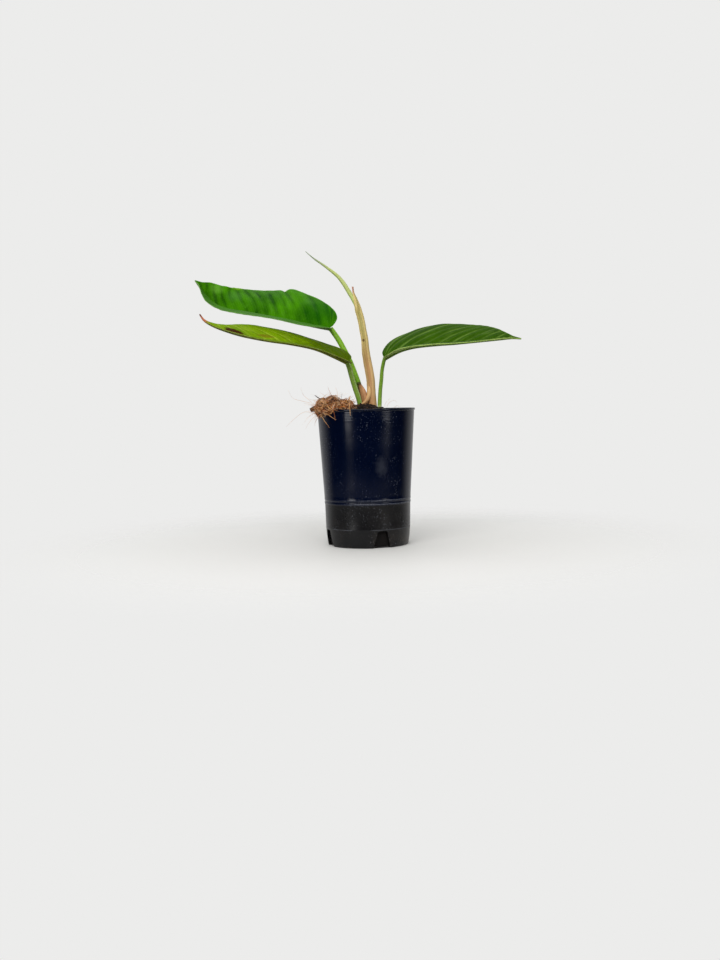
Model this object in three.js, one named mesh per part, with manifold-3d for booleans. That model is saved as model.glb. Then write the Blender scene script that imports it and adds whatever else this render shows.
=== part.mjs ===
// A potted philodendron rugapetiolatum: three pleated leaves on long stalks, a tall dry sheath that
// still holds the next leaf, and a cut old stem in brown fibre, in a round nursery pot.
//
// Millimetres, +Z up. The origin is the centre of the pot's underside. The viewer stands at -Y,
// so +X is to the right. A leaf's far half is the one on the +Y side of its midrib.

import * as THREE from 'three';
import { mergeVertices } from 'three/addons/utils/BufferGeometryUtils.js';
import Module from 'manifold-3d';

const wasm = await Module();
wasm.setup();

// Clearance between two pieces that touch
const GAP = 0.3;

// Pot: heights above the underside, and outer radii. The double ridge above the base band is a list
// of drops below its top edge, each with its depth in from the crests.
const POT = {
  sides: 48,
  wall: 1.25,
  floor: 1.2,
  floorCorner: 2,
  height: 112.8,
  rimRadius: 40.8,
  wallTopRadius: 40.2,
  beadHeight: 1.6,
  ridgeHeight: 39.6,
  ridgeRadius: 35.9,
  ridge: [[0, 0], [1.5, 0.35], [2.9, 0], [3.8, 0.35], [4.5, 0.1]],
  bandTop: 34.2,
  bandTopRadius: 35.5,
  bandMiddle: 15,
  bandMiddleRadius: 35.1,
  footRadius: 33.7,
  footRound: 1.8,
};

// Drain notches at the foot: the first is this far round from the front, towards +X
const NOTCH = {
  count: 4,
  firstAngle: 19,
  height: 14,
  topWidth: 8,
  bottomWidth: 15,
  innerRadius: 30.5,
  outerRadius: 38,
};

// Potting mix: level at the wall, and the mound round the stalks
const MIX = {
  level: 107,
  moundHeight: 9.5,
  moundSpread: 17,
  moundCentre: [-1, -4],
  unevenness: 0.7,
  chips: 24,
  chipRadii: [1, 2.1],
};

// Crown: the short buried stem that the stalks stand on
const CROWN = { centre: [3.4, 0.3, 102], radii: [12, 6.5, 7.5] };

// Old stem, from its cut end over the rim down to the crown
const OLD_STEM = {
  path: [
    [-45.2, -15.6, 112.4],
    [-37, -14.2, 115.3],
    [-26, -12, 114],
    [-15, -7.5, 108.5],
    [-3, -1.5, 103.5],
  ],
  cutRadius: 1.7,
  crownRadius: 3.2,
};

// Stalks: each stands in the crown and ends under its blade
const STALKS = {
  upper_left: {
    path: [
      [-0.6, 0.6, 105],
      [-1.8, 1.0, 116.5],
      [-3.4, 1.3, 124.8],
      [-5.7, 2.0, 134],
      [-8.6, 3.0, 142.3],
      [-12.1, 4.5, 151.5],
      [-16.5, 5.5, 160.8],
      [-21.3, 6.7, 170],
      [-26.9, 8.0, 178.4],
    ],
    footRadius: 2.1,
    topRadius: 2,
  },
  lower_left: {
    path: [
      [-4.2, -2.6, 104],
      [-4.7, -3.0, 115],
      [-5.9, -3.5, 121.6],
      [-8.5, -5.0, 129.8],
      [-11.1, -7.5, 138.9],
      [-12.7, -9.5, 145.4],
      [-14, -11.7, 149.4],
    ],
    footRadius: 1.9,
    topRadius: 1.9,
  },
  right: {
    path: [
      [11.3, 1.4, 105.5],
      [11.5, 1.5, 114.6],
      [11.8, 1.5, 119.6],
      [12.4, 1.5, 127.8],
      [13.4, 1.2, 136.1],
      [14.2, 0.5, 144.3],
      [16, -0.7, 152.3],
    ],
    footRadius: 1.75,
    topRadius: 1.5,
  },
};

// Blades: outline is half a leaf, from the stalk round the lobe to the tip, in shares of the length
// and of the half width. Folds are the slope of each half above level, from the midrib to the margin,
// in degrees, at even steps along the leaf. Curl is how far a half turns over, in radians. Sweep is
// how far forward the side veins lean: 1 is square to the midrib.
const BLADE_THICKNESS = 0.7;

// The near half of a blade hangs flatter than the far one: shares of the far half's curl and wave
const NEAR_HALF = { curlShare: 0.3, waveShare: 0.35 };

// Side veins: how early each leans forward and moves outward on its way to the margin (1 is even),
// where its pleat is full, and what share of the pleat's depth is lost by the margin
const VEIN = { forward: 0.7, outward: 1.1, fullDepthAt: 0.25, fade: 0.8 };

// One pleat across its width, as shares of its depth: a sharp furrow at the vein, then a round crest
const PLEAT = [-1, 0.45, 1, 0.45];
const BLADES = {
  upper_left: {
    midrib: [
      [-27.6, 8.2, 179.7],
      [-39.2, 10, 182],
      [-53.4, 13, 185.2],
      [-67.7, 16, 188.5],
      [-85.6, 20.5, 192.7],
      [-99.3, 24, 195.8],
      [-113, 27, 198.7],
      [-123.5, 29.2, 202.7],
      [-131.3, 31, 208.6],
      [-137.3, 32.2, 215.9],
      [-142.9, 33, 224.2],
    ],
    outline: [
      [0, 0],
      [-0.024, 0.28],
      [0.002, 0.5],
      [0.085, 0.79],
      [0.2, 0.99],
      [0.33, 1.07],
      [0.48, 1.04],
      [0.62, 0.93],
      [0.75, 0.73],
      [0.86, 0.62],
      [0.93, 0.35],
      [0.97, 0.12],
      [1, 0.012],
    ],
    halfWidth: 33,
    foldFar: [51, 48, 44, 42, 53],
    foldNear: [-5, -2.5, -3, -5, 14],
    curl: 0.7,
    pleats: 14,
    sweep: 2.2,
    pleatDepth: 0.7,
    wave: 1.3,
    waveLength: 0.42,
    wavePhase: 0.46,
    costa: 1.9,
  },
  lower_left: {
    midrib: [
      [-13.9, -12, 150.6],
      [-24.2, -14.5, 155.6],
      [-40.2, -18.5, 162.2],
      [-60, -23.5, 166.4],
      [-75.7, -27.5, 168.6],
      [-86.6, -30.5, 170.5],
      [-98.2, -33.5, 173],
      [-109.9, -36.5, 176.6],
      [-120.3, -38.5, 180.9],
      [-126.4, -39.5, 185],
      [-129.5, -40, 189.8],
    ],
    outline: [
      [0, 0],
      [-0.014, 0.25],
      [-0.012, 0.46],
      [0.035, 0.68],
      [0.14, 0.84],
      [0.28, 0.92],
      [0.44, 1.02],
      [0.58, 1.16],
      [0.7, 0.9],
      [0.8, 0.5],
      [0.89, 0.22],
      [0.95, 0.09],
      [1, 0.03],
    ],
    halfWidth: 20,
    foldFar: [37, 27, 35, 31, 26],
    foldNear: [-3, -6, -4, -4, -2],
    curl: 0.5,
    pleats: 11,
    sweep: 2.1,
    pleatDepth: 0.4,
    wave: 0.4,
    waveLength: 0.36,
    wavePhase: 0.3,
    costa: 1.6,
  },
  right: {
    midrib: [
      [16.4, -1, 153.5],
      [28.2, -3, 159.2],
      [40, -6, 162.1],
      [59.3, -10.5, 163.6],
      [72.5, -13, 164],
      [83.2, -15.5, 164.6],
      [96.2, -18, 165.4],
      [109, -20.5, 166.2],
      [118.7, -22.5, 166.8],
      [126, -24, 166.3],
    ],
    outline: [
      [0, 0],
      [-0.002, 0.28],
      [0.034, 0.5],
      [0.08, 0.7],
      [0.145, 0.87],
      [0.27, 0.98],
      [0.42, 1.01],
      [0.56, 0.93],
      [0.7, 0.76],
      [0.81, 0.52],
      [0.89, 0.25],
      [0.95, 0.07],
      [1, 0.012],
    ],
    halfWidth: 29,
    foldFar: [31, 35.5, 37, 33.5, 21],
    foldNear: [-1.5, -2, -2.5, -3, -3],
    curl: 0.55,
    pleats: 10,
    sweep: 2.2,
    pleatDepth: 0.55,
    wave: 0.7,
    waveLength: 0.5,
    wavePhase: 0.4,
    costa: 1.6,
  },
};

// Tall sheath round the rolled leaf, and the leaf itself, which leaves the sheath on its left
const SHEATH = {
  path: [
    [5.9, 0, 106],
    [5.8, 0, 114.7],
    [5.1, 0, 125.5],
    [4.7, 0.2, 136.2],
    [3.5, 0.4, 144.5],
    [2.1, 0.6, 152.8],
    [1, 0.8, 161],
    [0.5, 1, 169.3],
    [-0.8, 1.3, 177.5],
    [-2.2, 1.6, 185.8],
    [-4.3, 1.9, 194],
    [-7.2, 2.2, 202.3],
    [-9.4, 2.5, 208.1],
    [-10.1, 2.8, 213],
  ],
  radii: [3.1, 3.2, 3.15, 3.1, 3.1, 3.0, 2.7, 2.5, 2.5, 2.45, 2.3, 0.5],
};
const NEW_LEAF = {
  path: [
    [5.8, 0, 112],
    [5.1, 0, 125.5],
    [4.7, 0.2, 136.2],
    [3.5, 0.4, 144.5],
    [2.1, 0.6, 152.8],
    [1, 0.8, 161],
    [0.5, 1, 169.3],
    [-0.8, 1.3, 177.5],
    [-2.3, 1.6, 185.8],
    [-4.8, 1.8, 194],
    [-8.4, 1.8, 202.3],
    [-11.8, 1.6, 208.6],
    [-16.3, 0.5, 216],
    [-20.7, -1, 221.4],
    [-30.5, -4, 229.2],
    [-40, -6.5, 235.8],
    [-46.5, -8, 241.3],
  ],
  radii: [1.7, 1.9, 1.85, 1.8, 1.7, 1.35, 1.3, 1.4, 1.85, 1.6, 1.2, 0.7, 0.3],
};

// Short brown scale at the foot of the upper left stalk
const OLD_SHEATH = {
  path: [
    [-1.1, -1, 116.5],
    [-2.4, -0.6, 121.5],
    [-3.4, -0.1, 127],
    [-4.7, 0.9, 132.8],
  ],
  radii: [2, 2.8, 3, 2.5, 1.2],
};

// Fibre: lumps of matted fibre, each a centre and three radii, and the loose strands on them, which
// hang no lower than the lowest height
const FIBRE = {
  lumps: [
    [[-38, -16.5, 111.6], [3.5, 5, 5.2]],
    [[-33.5, -17, 115.2], [6.5, 7.5, 6]],
    [[-26.5, -17, 116], [7, 9, 6.8]],
    [[-18.5, -15, 114.4], [6.5, 8.5, 5.4]],
    [[-14, -11.5, 114.2], [4.4, 6, 4.8]],
    [[-29, -26.5, 112.8], [6, 5, 3.8]],
  ],
  roughness: 0.16,
  strands: 26,
  strandRadius: 0.5,
  strandReach: [5, 12],
  lowest: 60,
};

// Strands that are seen one by one: a dark spike, an upright stub and three that hang over the rim
const LONG_STRANDS = [
  { path: [[-33, -15, 118], [-37, -15.5, 121.5], [-41.5, -16, 124.6]], radius: 0.9 },
  { path: [[-14, -11, 113], [-13.2, -11, 118.5], [-12.4, -11, 123.4]], radius: 1 },
  { path: [[-14, -18, 115.5], [-13.2, -30, 117.6], [-12.8, -40, 114.4], [-12.7, -42, 104.5]], radius: 0.6 },
  { path: [[-28, -27, 113], [-26.5, -33, 111.5], [-25.5, -34.4, 104]], radius: 0.5 },
  { path: [[-38, -17, 110], [-35, -25, 106], [-30.5, -29.5, 98]], radius: 0.5 },
];

const FINISH = {
  pot: new THREE.MeshStandardMaterial({ color: '#0d1122', roughness: 0.35, metalness: 0 }),
  mix: new THREE.MeshStandardMaterial({ color: '#241813', roughness: 1, metalness: 0 }),
  stem: new THREE.MeshStandardMaterial({ color: '#4a3322', roughness: 0.9, metalness: 0 }),
  fibre: new THREE.MeshStandardMaterial({ color: '#8a5533', roughness: 0.95, metalness: 0 }),
  stalk: new THREE.MeshStandardMaterial({ color: '#6f9a35', roughness: 0.5, metalness: 0 }),
  paleStalk: new THREE.MeshStandardMaterial({ color: '#8da25c', roughness: 0.6, metalness: 0 }),
  youngBlade: new THREE.MeshStandardMaterial({ color: '#3f8512', roughness: 0.4, metalness: 0 }),
  oldBlade: new THREE.MeshStandardMaterial({ color: '#7c9a20', roughness: 0.5, metalness: 0 }),
  darkBlade: new THREE.MeshStandardMaterial({ color: '#2c5a10', roughness: 0.4, metalness: 0 }),
  sheath: new THREE.MeshStandardMaterial({ color: '#bd9a62', roughness: 0.7, metalness: 0 }),
  newLeaf: new THREE.MeshStandardMaterial({ color: '#a9bd66', roughness: 0.5, metalness: 0 }),
};

const UP = new THREE.Vector3(0, 0, 1);
const FULL_TURN = 2 * Math.PI;
const toRadians = THREE.MathUtils.degToRad;
const lerp = THREE.MathUtils.lerp;
const clamp = THREE.MathUtils.clamp;

// Numbers from 0 to 1 that are the same on every run
function seededRandom(seed) {
  let state = seed;
  return () => {
    state = (state * 1664525 + 1013904223) % 4294967296;
    return state / 4294967296;
  };
}

function curveThrough(points) {
  return new THREE.CatmullRomCurve3(points.map((p) => new THREE.Vector3(...p)));
}

// The value at share u of a list of evenly spaced values
function valueAlong(values, u) {
  const place = clamp(u, 0, 1) * (values.length - 1);
  const below = Math.min(Math.floor(place), values.length - 2);
  return lerp(values[below], values[below + 1], place - below);
}

function solidFrom(geometry) {
  geometry.deleteAttribute('normal');
  geometry.deleteAttribute('uv');
  const merged = mergeVertices(geometry);
  const corners = merged.index.array;
  const kept = [];
  for (let i = 0; i < corners.length; i += 3) {
    const [a, b, c] = corners.slice(i, i + 3);
    if (a !== b && b !== c && c !== a) kept.push(a, b, c);
  }
  const mesh = new wasm.Mesh({
    numProp: 3,
    vertProperties: merged.attributes.position.array,
    triVerts: Uint32Array.from(kept),
  });
  return new wasm.Manifold(mesh);
}

// A solid from its points and its faces, turned so that the faces point out
function skin(points, faces) {
  let volume = 0;
  for (let i = 0; i < faces.length; i += 3) {
    const [a, b, c] = [points[faces[i]], points[faces[i + 1]], points[faces[i + 2]]];
    volume += a.dot(b.clone().cross(c));
  }
  const geometry = new THREE.BufferGeometry().setFromPoints(points);
  geometry.setIndex(volume > 0 ? faces : faces.toReversed());
  return solidFrom(geometry);
}

// A closed skin over rings of points, with each end filled by a fan round its middle
function loft(rings) {
  const sides = rings[0].length;
  const points = rings.flat();
  const faces = [];
  for (let r = 0; r + 1 < rings.length; r += 1) {
    for (let k = 0; k < sides; k += 1) {
      const a = r * sides + k;
      const b = r * sides + ((k + 1) % sides);
      faces.push(a, b, b + sides, a, b + sides, a + sides);
    }
  }
  for (const end of [0, rings.length - 1]) {
    const middle = points.length;
    const sum = rings[end].reduce((total, p) => total.add(p), new THREE.Vector3());
    points.push(sum.divideScalar(sides));
    for (let k = 0; k < sides; k += 1) {
      const a = end * sides + k;
      const b = end * sides + ((k + 1) % sides);
      faces.push(...(end === 0 ? [b, a, middle] : [a, b, middle]));
    }
  }
  return skin(points, faces);
}

// A tube whose radius changes along its curve. grow makes it fatter and longer on all sides.
function tube(curve, radii, steps, sides, grow = 0) {
  const frames = curve.computeFrenetFrames(steps);
  const rings = [];
  for (let i = 0; i <= steps; i += 1) {
    const centre = curve.getPointAt(i / steps);
    if (i === 0) centre.addScaledVector(frames.tangents[i], -grow);
    if (i === steps) centre.addScaledVector(frames.tangents[i], grow);
    const radius = valueAlong(radii, i / steps) + grow;
    const ring = [];
    for (let k = 0; k < sides; k += 1) {
      const angle = (FULL_TURN * k) / sides;
      const point = centre.clone();
      point.addScaledVector(frames.normals[i], radius * Math.cos(angle));
      point.addScaledVector(frames.binormals[i], radius * Math.sin(angle));
      ring.push(point);
    }
    rings.push(ring);
  }
  return loft(rings);
}

// The largest body of a solid, without the scraps that a cut leaves
function withoutScraps(solid) {
  const bodies = solid.decompose();
  return bodies.reduce((best, body) => (body.volume() > best.volume() ? body : best));
}

// Outer outline of the pot's wall, from the foot up, as radius and height
function potOutline() {
  const ridge = POT.ridge.map(([drop, depth]) => [POT.ridgeRadius - depth, POT.ridgeHeight - drop]);
  return [
    [POT.footRadius - POT.footRound, 0],
    [POT.footRadius - 0.3 * POT.footRound, 0.3 * POT.footRound],
    [POT.footRadius, POT.footRound],
    [POT.bandMiddleRadius, POT.bandMiddle],
    [POT.bandTopRadius, POT.bandTop],
    ...ridge.reverse(),
    [POT.wallTopRadius, POT.height - POT.beadHeight],
    [POT.rimRadius, POT.height - 0.75 * POT.beadHeight],
    [POT.rimRadius, POT.height - 0.2 * POT.beadHeight],
    [POT.rimRadius - 0.25 * POT.beadHeight, POT.height],
  ];
}

// Radius of the outside of the wall at a height, straight between foot, band and rim
function outerRadius(z) {
  const { footRound, footRadius, bandTop, bandTopRadius, height, wallTopRadius } = POT;
  if (z < bandTop) return lerp(footRadius, bandTopRadius, (z - footRound) / (bandTop - footRound));
  return lerp(bandTopRadius, wallTopRadius, (z - bandTop) / (height - bandTop));
}

function innerRadius(z) {
  return outerRadius(z) - POT.wall;
}

function turned(profile) {
  const points = profile.map(([radius, z]) => new THREE.Vector2(radius, z));
  return solidFrom(new THREE.LatheGeometry(points, POT.sides).rotateX(Math.PI / 2));
}

function makePot() {
  const corner = POT.floor + POT.floorCorner;
  const body = turned([
    [0, 0],
    ...potOutline(),
    [innerRadius(POT.height), POT.height],
    [innerRadius(POT.bandTop), POT.bandTop],
    [innerRadius(corner), corner],
    [innerRadius(corner) - POT.floorCorner, POT.floor],
    [0, POT.floor],
  ]);
  const outline = new THREE.Shape([
    new THREE.Vector2(-NOTCH.bottomWidth / 2, -1),
    new THREE.Vector2(NOTCH.bottomWidth / 2, -1),
    new THREE.Vector2(NOTCH.topWidth / 2, NOTCH.height),
    new THREE.Vector2(-NOTCH.topWidth / 2, NOTCH.height),
  ]);
  let pot = body;
  for (let i = 0; i < NOTCH.count; i += 1) {
    const depth = NOTCH.outerRadius - NOTCH.innerRadius;
    const notch = new THREE.ExtrudeGeometry(outline, { depth, bevelEnabled: false });
    notch.rotateX(Math.PI / 2);
    notch.translate(0, -NOTCH.innerRadius, 0);
    notch.rotateZ(toRadians(NOTCH.firstAngle) + (FULL_TURN * i) / NOTCH.count);
    pot = pot.subtract(solidFrom(notch));
  }
  return pot;
}

// The pot's rim and upper wall, fatter by the gap, which keep the fibre off them
function rimClearance() {
  const underBead = POT.height - POT.beadHeight - GAP;
  const lowInside = [innerRadius(FIBRE.lowest) - GAP, FIBRE.lowest];
  return turned([
    lowInside,
    [outerRadius(FIBRE.lowest) + GAP, FIBRE.lowest],
    [outerRadius(underBead) + GAP, underBead],
    [POT.rimRadius + GAP, underBead],
    [POT.rimRadius + GAP, POT.height + GAP],
    [innerRadius(POT.height) - GAP, POT.height + GAP],
    lowInside,
  ]);
}

// Height of the mix: level at the wall, mounded round the stalks, uneven all over
function mixHeight(x, y) {
  const [cx, cy] = MIX.moundCentre;
  const distance = Math.hypot(x - cx, y - cy);
  const mound = MIX.moundHeight * Math.exp(-((distance / MIX.moundSpread) ** 2));
  const uneven = Math.sin(x * 0.55 + 1) * Math.cos(y * 0.47) + 0.6 * Math.sin(x * 0.21 - y * 0.8);
  return MIX.level + mound + MIX.unevenness * uneven;
}

function mixRing(radius, z) {
  const ring = [];
  for (let k = 0; k < POT.sides; k += 1) {
    const angle = (FULL_TURN * k) / POT.sides;
    const x = radius * Math.sin(angle);
    const y = radius * Math.cos(angle);
    ring.push(new THREE.Vector3(x, y, z ?? mixHeight(x, y)));
  }
  return ring;
}

// A rough lump: a ball of flat faces, stretched, with every corner moved in or out
function lump(centre, radii, detail, roughness, random) {
  const ball = new THREE.IcosahedronGeometry(1, detail);
  ball.deleteAttribute('normal');
  ball.deleteAttribute('uv');
  const shape = mergeVertices(ball);
  const position = shape.attributes.position;
  for (let i = 0; i < position.count; i += 1) {
    const reach = 1 + roughness * (2 * random() - 1);
    position.setXYZ(i, position.getX(i) * reach, position.getY(i) * reach, position.getZ(i) * reach);
  }
  shape.scale(...radii);
  shape.translate(...centre);
  return solidFrom(shape);
}

function makeMix(hollow) {
  const wallRadius = (z) => innerRadius(z) - GAP;
  const low = POT.floor + GAP;
  const corner = low + POT.floorCorner;
  const shoulder = MIX.level - 3;
  const rings = [
    mixRing(wallRadius(corner) - POT.floorCorner - GAP, low),
    mixRing(wallRadius(corner), corner),
    mixRing(wallRadius(POT.bandTop), POT.bandTop),
    mixRing(wallRadius(shoulder), shoulder),
    ...[0.985, 0.8, 0.6, 0.4, 0.2].map((share) => mixRing(wallRadius(shoulder) * share)),
  ];
  const random = seededRandom(11);
  let mix = loft(rings);
  for (let i = 0; i < MIX.chips; i += 1) {
    const radius = (wallRadius(shoulder) - 4) * Math.sqrt(random());
    const angle = FULL_TURN * random();
    const [x, y] = [radius * Math.cos(angle), radius * Math.sin(angle)];
    const size = lerp(...MIX.chipRadii, random());
    const radii = [size, size * lerp(0.6, 1, random()), size * 0.55];
    mix = mix.add(lump([x, y, mixHeight(x, y)], radii, 0, 0.25, random));
  }
  return withoutScraps(mix.subtract(hollow));
}

// The crown with the old stem. grow makes the hollow that it needs in other pieces.
function stemBody(grow = 0) {
  const ball = new THREE.IcosahedronGeometry(1, 2);
  ball.scale(...CROWN.radii.map((radius) => radius + grow));
  ball.translate(...CROWN.centre);
  const radii = [OLD_STEM.cutRadius, OLD_STEM.cutRadius, OLD_STEM.crownRadius];
  return solidFrom(ball).add(tube(curveThrough(OLD_STEM.path), radii, 14, 10, grow));
}

function stalk(name, grow = 0) {
  const { path, footRadius, topRadius } = STALKS[name];
  return tube(curveThrough(path), [footRadius, topRadius, topRadius], 16, 10, grow);
}

// The middle surface of a blade: where the flat leaf's point (x along the midrib, y across it,
// positive on the far half) lies once the leaf is arched and its two halves are folded up
function bladeSurface(leaf) {
  const midrib = curveThrough(leaf.midrib);
  const length = midrib.getLength();
  const away = (tangent) => {
    const side = UP.clone().cross(tangent).normalize();
    return side.y > 0 ? side : side.negate();
  };
  const place = (x, y) => {
    const u = clamp(x / length, 0, 1);
    const tangent = midrib.getTangentAt(u);
    const point = midrib.getPointAt(u).addScaledVector(tangent, x - u * length);
    const side = away(tangent);
    const lift = side.clone().cross(tangent);
    if (lift.z < 0) lift.negate();
    const fold = toRadians(valueAlong(y > 0 ? leaf.foldFar : leaf.foldNear, u));
    const curl = leaf.curl * (y > 0 ? 1 : NEAR_HALF.curlShare);
    const angle = fold + (curl / 2) * (1 - Math.abs(y) / leaf.halfWidth);
    point.addScaledVector(side, y * Math.cos(angle));
    return point.addScaledVector(lift, Math.abs(y) * Math.sin(angle));
  };
  const normal = (x, y) => {
    const step = 0.05;
    const along = place(x + step, y).sub(place(x - step, y));
    const across = place(x, y + step).sub(place(x, y - step));
    const up = along.cross(across).normalize();
    return up.z < 0 ? up.negate() : up;
  };
  return { length, place, normal };
}

// A pleated blade. Its rows follow the side veins, each from the midrib out and forward to the
// margin, with a row for every step of the pleats, and both faces are split alike.
function makeBlade(leaf, cutter) {
  const { length, place, normal } = bladeSurface(leaf);
  const margin = new THREE.SplineCurve(leaf.outline.map(([x, y]) => new THREE.Vector2(x, y)));
  const shares = [0.07, 0.36, 0.68, 1];
  const across = [...shares.map((t) => -t).reverse(), 0, ...shares];
  const rows = PLEAT.length * leaf.pleats;
  const top = [];
  const bottom = [];
  for (let i = 0; i <= rows; i += 1) {
    const u = lerp(0.03, 1, i / rows);
    const start = length * u ** leaf.sweep;
    const end = margin.getPointAt(u);
    const lead = length * end.x - start;
    const reach = leaf.halfWidth * Math.abs(end.y);
    for (const t of across) {
      const s = Math.abs(t);
      const x = start + lead * (VEIN.forward * s * (1 - s) + s * s);
      const y = Math.sign(t) * reach * (VEIN.outward * s * (1 - s) + s * s);
      const point = place(x, y);
      const up = normal(x, y);
      const taper = Math.min(1, s / VEIN.fullDepthAt) * (1 - VEIN.fade * s) * Math.min(1, reach / 8);
      const crest = PLEAT[i % PLEAT.length] * leaf.pleatDepth * taper;
      const phase = FULL_TURN * (x / (leaf.waveLength * length) + leaf.wavePhase);
      const waveHeight = leaf.wave * (t > 0 ? 1 : NEAR_HALF.waveShare);
      const wave = waveHeight * s * s * Math.sin(phase) * Math.min(1, reach / 12);
      point.addScaledVector(up, crest + wave);
      const costa = t === 0 ? leaf.costa * (1 - 0.8 * u) : 0;
      top.push(point.clone().addScaledVector(up, BLADE_THICKNESS / 2));
      bottom.push(point.addScaledVector(up, -BLADE_THICKNESS / 2 - costa));
    }
  }
  const columns = across.length;
  const under = top.length;
  const faces = [];
  for (let i = 0; i < rows; i += 1) {
    for (let j = 0; j + 1 < columns; j += 1) {
      const a = i * columns + j;
      const [b, c, d] = [a + 1, a + columns, a + columns + 1];
      faces.push(a, b, d, a, d, c);
      faces.push(under + b, under + a, under + d, under + d, under + a, under + c);
    }
  }
  const rim = [];
  for (let j = 0; j < columns; j += 1) rim.push(j);
  for (let i = 1; i < rows; i += 1) rim.push(i * columns + columns - 1);
  for (let j = columns - 1; j >= 0; j -= 1) rim.push(rows * columns + j);
  for (let i = rows - 1; i > 0; i -= 1) rim.push(i * columns);
  rim.forEach((a, k) => {
    const b = rim[(k + 1) % rim.length];
    faces.push(b, a, under + a, b, under + a, under + b);
  });
  return withoutScraps(skin([...top, ...bottom], faces).subtract(cutter));
}

function newLeaf(grow = 0) {
  return tube(curveThrough(NEW_LEAF.path), NEW_LEAF.radii, 34, 10, grow);
}

function sheathBody(grow = 0) {
  return tube(curveThrough(SHEATH.path), SHEATH.radii, 26, 12, grow);
}

function makeOldSheath(cutter) {
  const scale = tube(curveThrough(OLD_SHEATH.path), OLD_SHEATH.radii, 8, 12);
  return withoutScraps(scale.subtract(cutter));
}

// A loose fibre: out of the mat, bent down by its own weight
function strand(random) {
  const [centre, radii] = FIBRE.lumps[Math.floor(random() * FIBRE.lumps.length)];
  const angle = FULL_TURN * random();
  const rise = 1.4 * random() - 0.5;
  const out = new THREE.Vector3(Math.cos(angle), Math.sin(angle), rise).normalize();
  const root = new THREE.Vector3(...centre);
  root.add(out.clone().multiply(new THREE.Vector3(...radii)).multiplyScalar(0.75));
  const reach = lerp(...FIBRE.strandReach, random());
  const sway = new THREE.Vector3(random() - 0.5, random() - 0.5, 0).multiplyScalar(0.5 * reach);
  const middle = root.clone().addScaledVector(out, 0.55 * reach).add(sway);
  const end = root.clone().addScaledVector(out, reach).add(sway.multiplyScalar(1.4));
  end.z -= 0.3 * reach;
  const thick = FIBRE.strandRadius;
  return tube(new THREE.CatmullRomCurve3([root, middle, end]), [thick, thick, 0.6 * thick], 4, 3);
}

function makeFibre(cutter) {
  const random = seededRandom(5);
  let mat = FIBRE.lumps
    .map(([centre, radii]) => lump(centre, radii, 2, FIBRE.roughness, random))
    .reduce((all, one) => all.add(one));
  for (let i = 0; i < FIBRE.strands; i += 1) mat = mat.add(strand(random));
  for (const { path, radius } of LONG_STRANDS) {
    mat = mat.add(tube(curveThrough(path), [radius, radius, 0.5 * radius], 8, 4));
  }
  return withoutScraps(mat.subtract(cutter));
}

const joined = (solids) => solids.reduce((all, one) => all.add(one));
const stalkNames = Object.keys(STALKS);
const stalkRoom = joined(stalkNames.map((name) => stalk(name, GAP)));
const sheathRoom = sheathBody(GAP);
const oldSheath = makeOldSheath(stalkRoom.add(sheathRoom));
const stem = stemBody().subtract(stalkRoom.add(sheathRoom));
const mix = makeMix(joined([stemBody(GAP), stalkRoom, sheathRoom]));
const mixRoom = mix.add(mix.translate([0, 0, GAP]));
const fibreRoom = joined([stemBody(GAP), stalkRoom, sheathRoom, rimClearance(), mixRoom]);
const bladeFinish = { upper_left: 'youngBlade', lower_left: 'oldBlade', right: 'darkBlade' };
const stalkFinish = { upper_left: 'stalk', lower_left: 'paleStalk', right: 'stalk' };

function piece(name, solid, finish) {
  const { vertProperties, triVerts } = solid.getMesh();
  const geometry = new THREE.BufferGeometry();
  geometry.setAttribute('position', new THREE.BufferAttribute(vertProperties, 3));
  geometry.setIndex(new THREE.BufferAttribute(triVerts, 1));
  geometry.computeVertexNormals();
  const mesh = new THREE.Mesh(geometry, FINISH[finish]);
  mesh.name = name;
  return mesh;
}

const plant = new THREE.Group();
plant.add(piece('pot', makePot(), 'pot'));
plant.add(piece('potting_mix', mix, 'mix'));
plant.add(piece('stem', stem, 'stem'));
plant.add(piece('fibre_mat', makeFibre(fibreRoom), 'fibre'));
plant.add(piece('sheath', sheathBody().subtract(newLeaf(GAP)), 'sheath'));
plant.add(piece('new_leaf', newLeaf(), 'newLeaf'));
plant.add(piece('old_sheath', oldSheath, 'sheath'));
for (const name of stalkNames) {
  plant.add(piece(`petiole_${name}`, stalk(name), stalkFinish[name]));
  plant.add(piece(`blade_${name}`, makeBlade(BLADES[name], stalk(name, GAP)), bladeFinish[name]));
}

export default plant;
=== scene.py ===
# %% [markdown]
# # A potted philodendron rugapetiolatum
#
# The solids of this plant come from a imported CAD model, which is loaded first and never changed.
# Each step below makes the finer piece that stands for one of those solids, with its own material.
# All numbers that describe the plant are in millimetres, and Blender works in metres, so MM turns
# one into the other. +Z is up, and the viewer stands at -Y.

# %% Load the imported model
import math
import random
from bisect import bisect_right
from types import SimpleNamespace

import bmesh
import bpy
from mathutils import Color, Matrix, Vector, noise
from mathutils.geometry import interpolate_bezier


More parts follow.
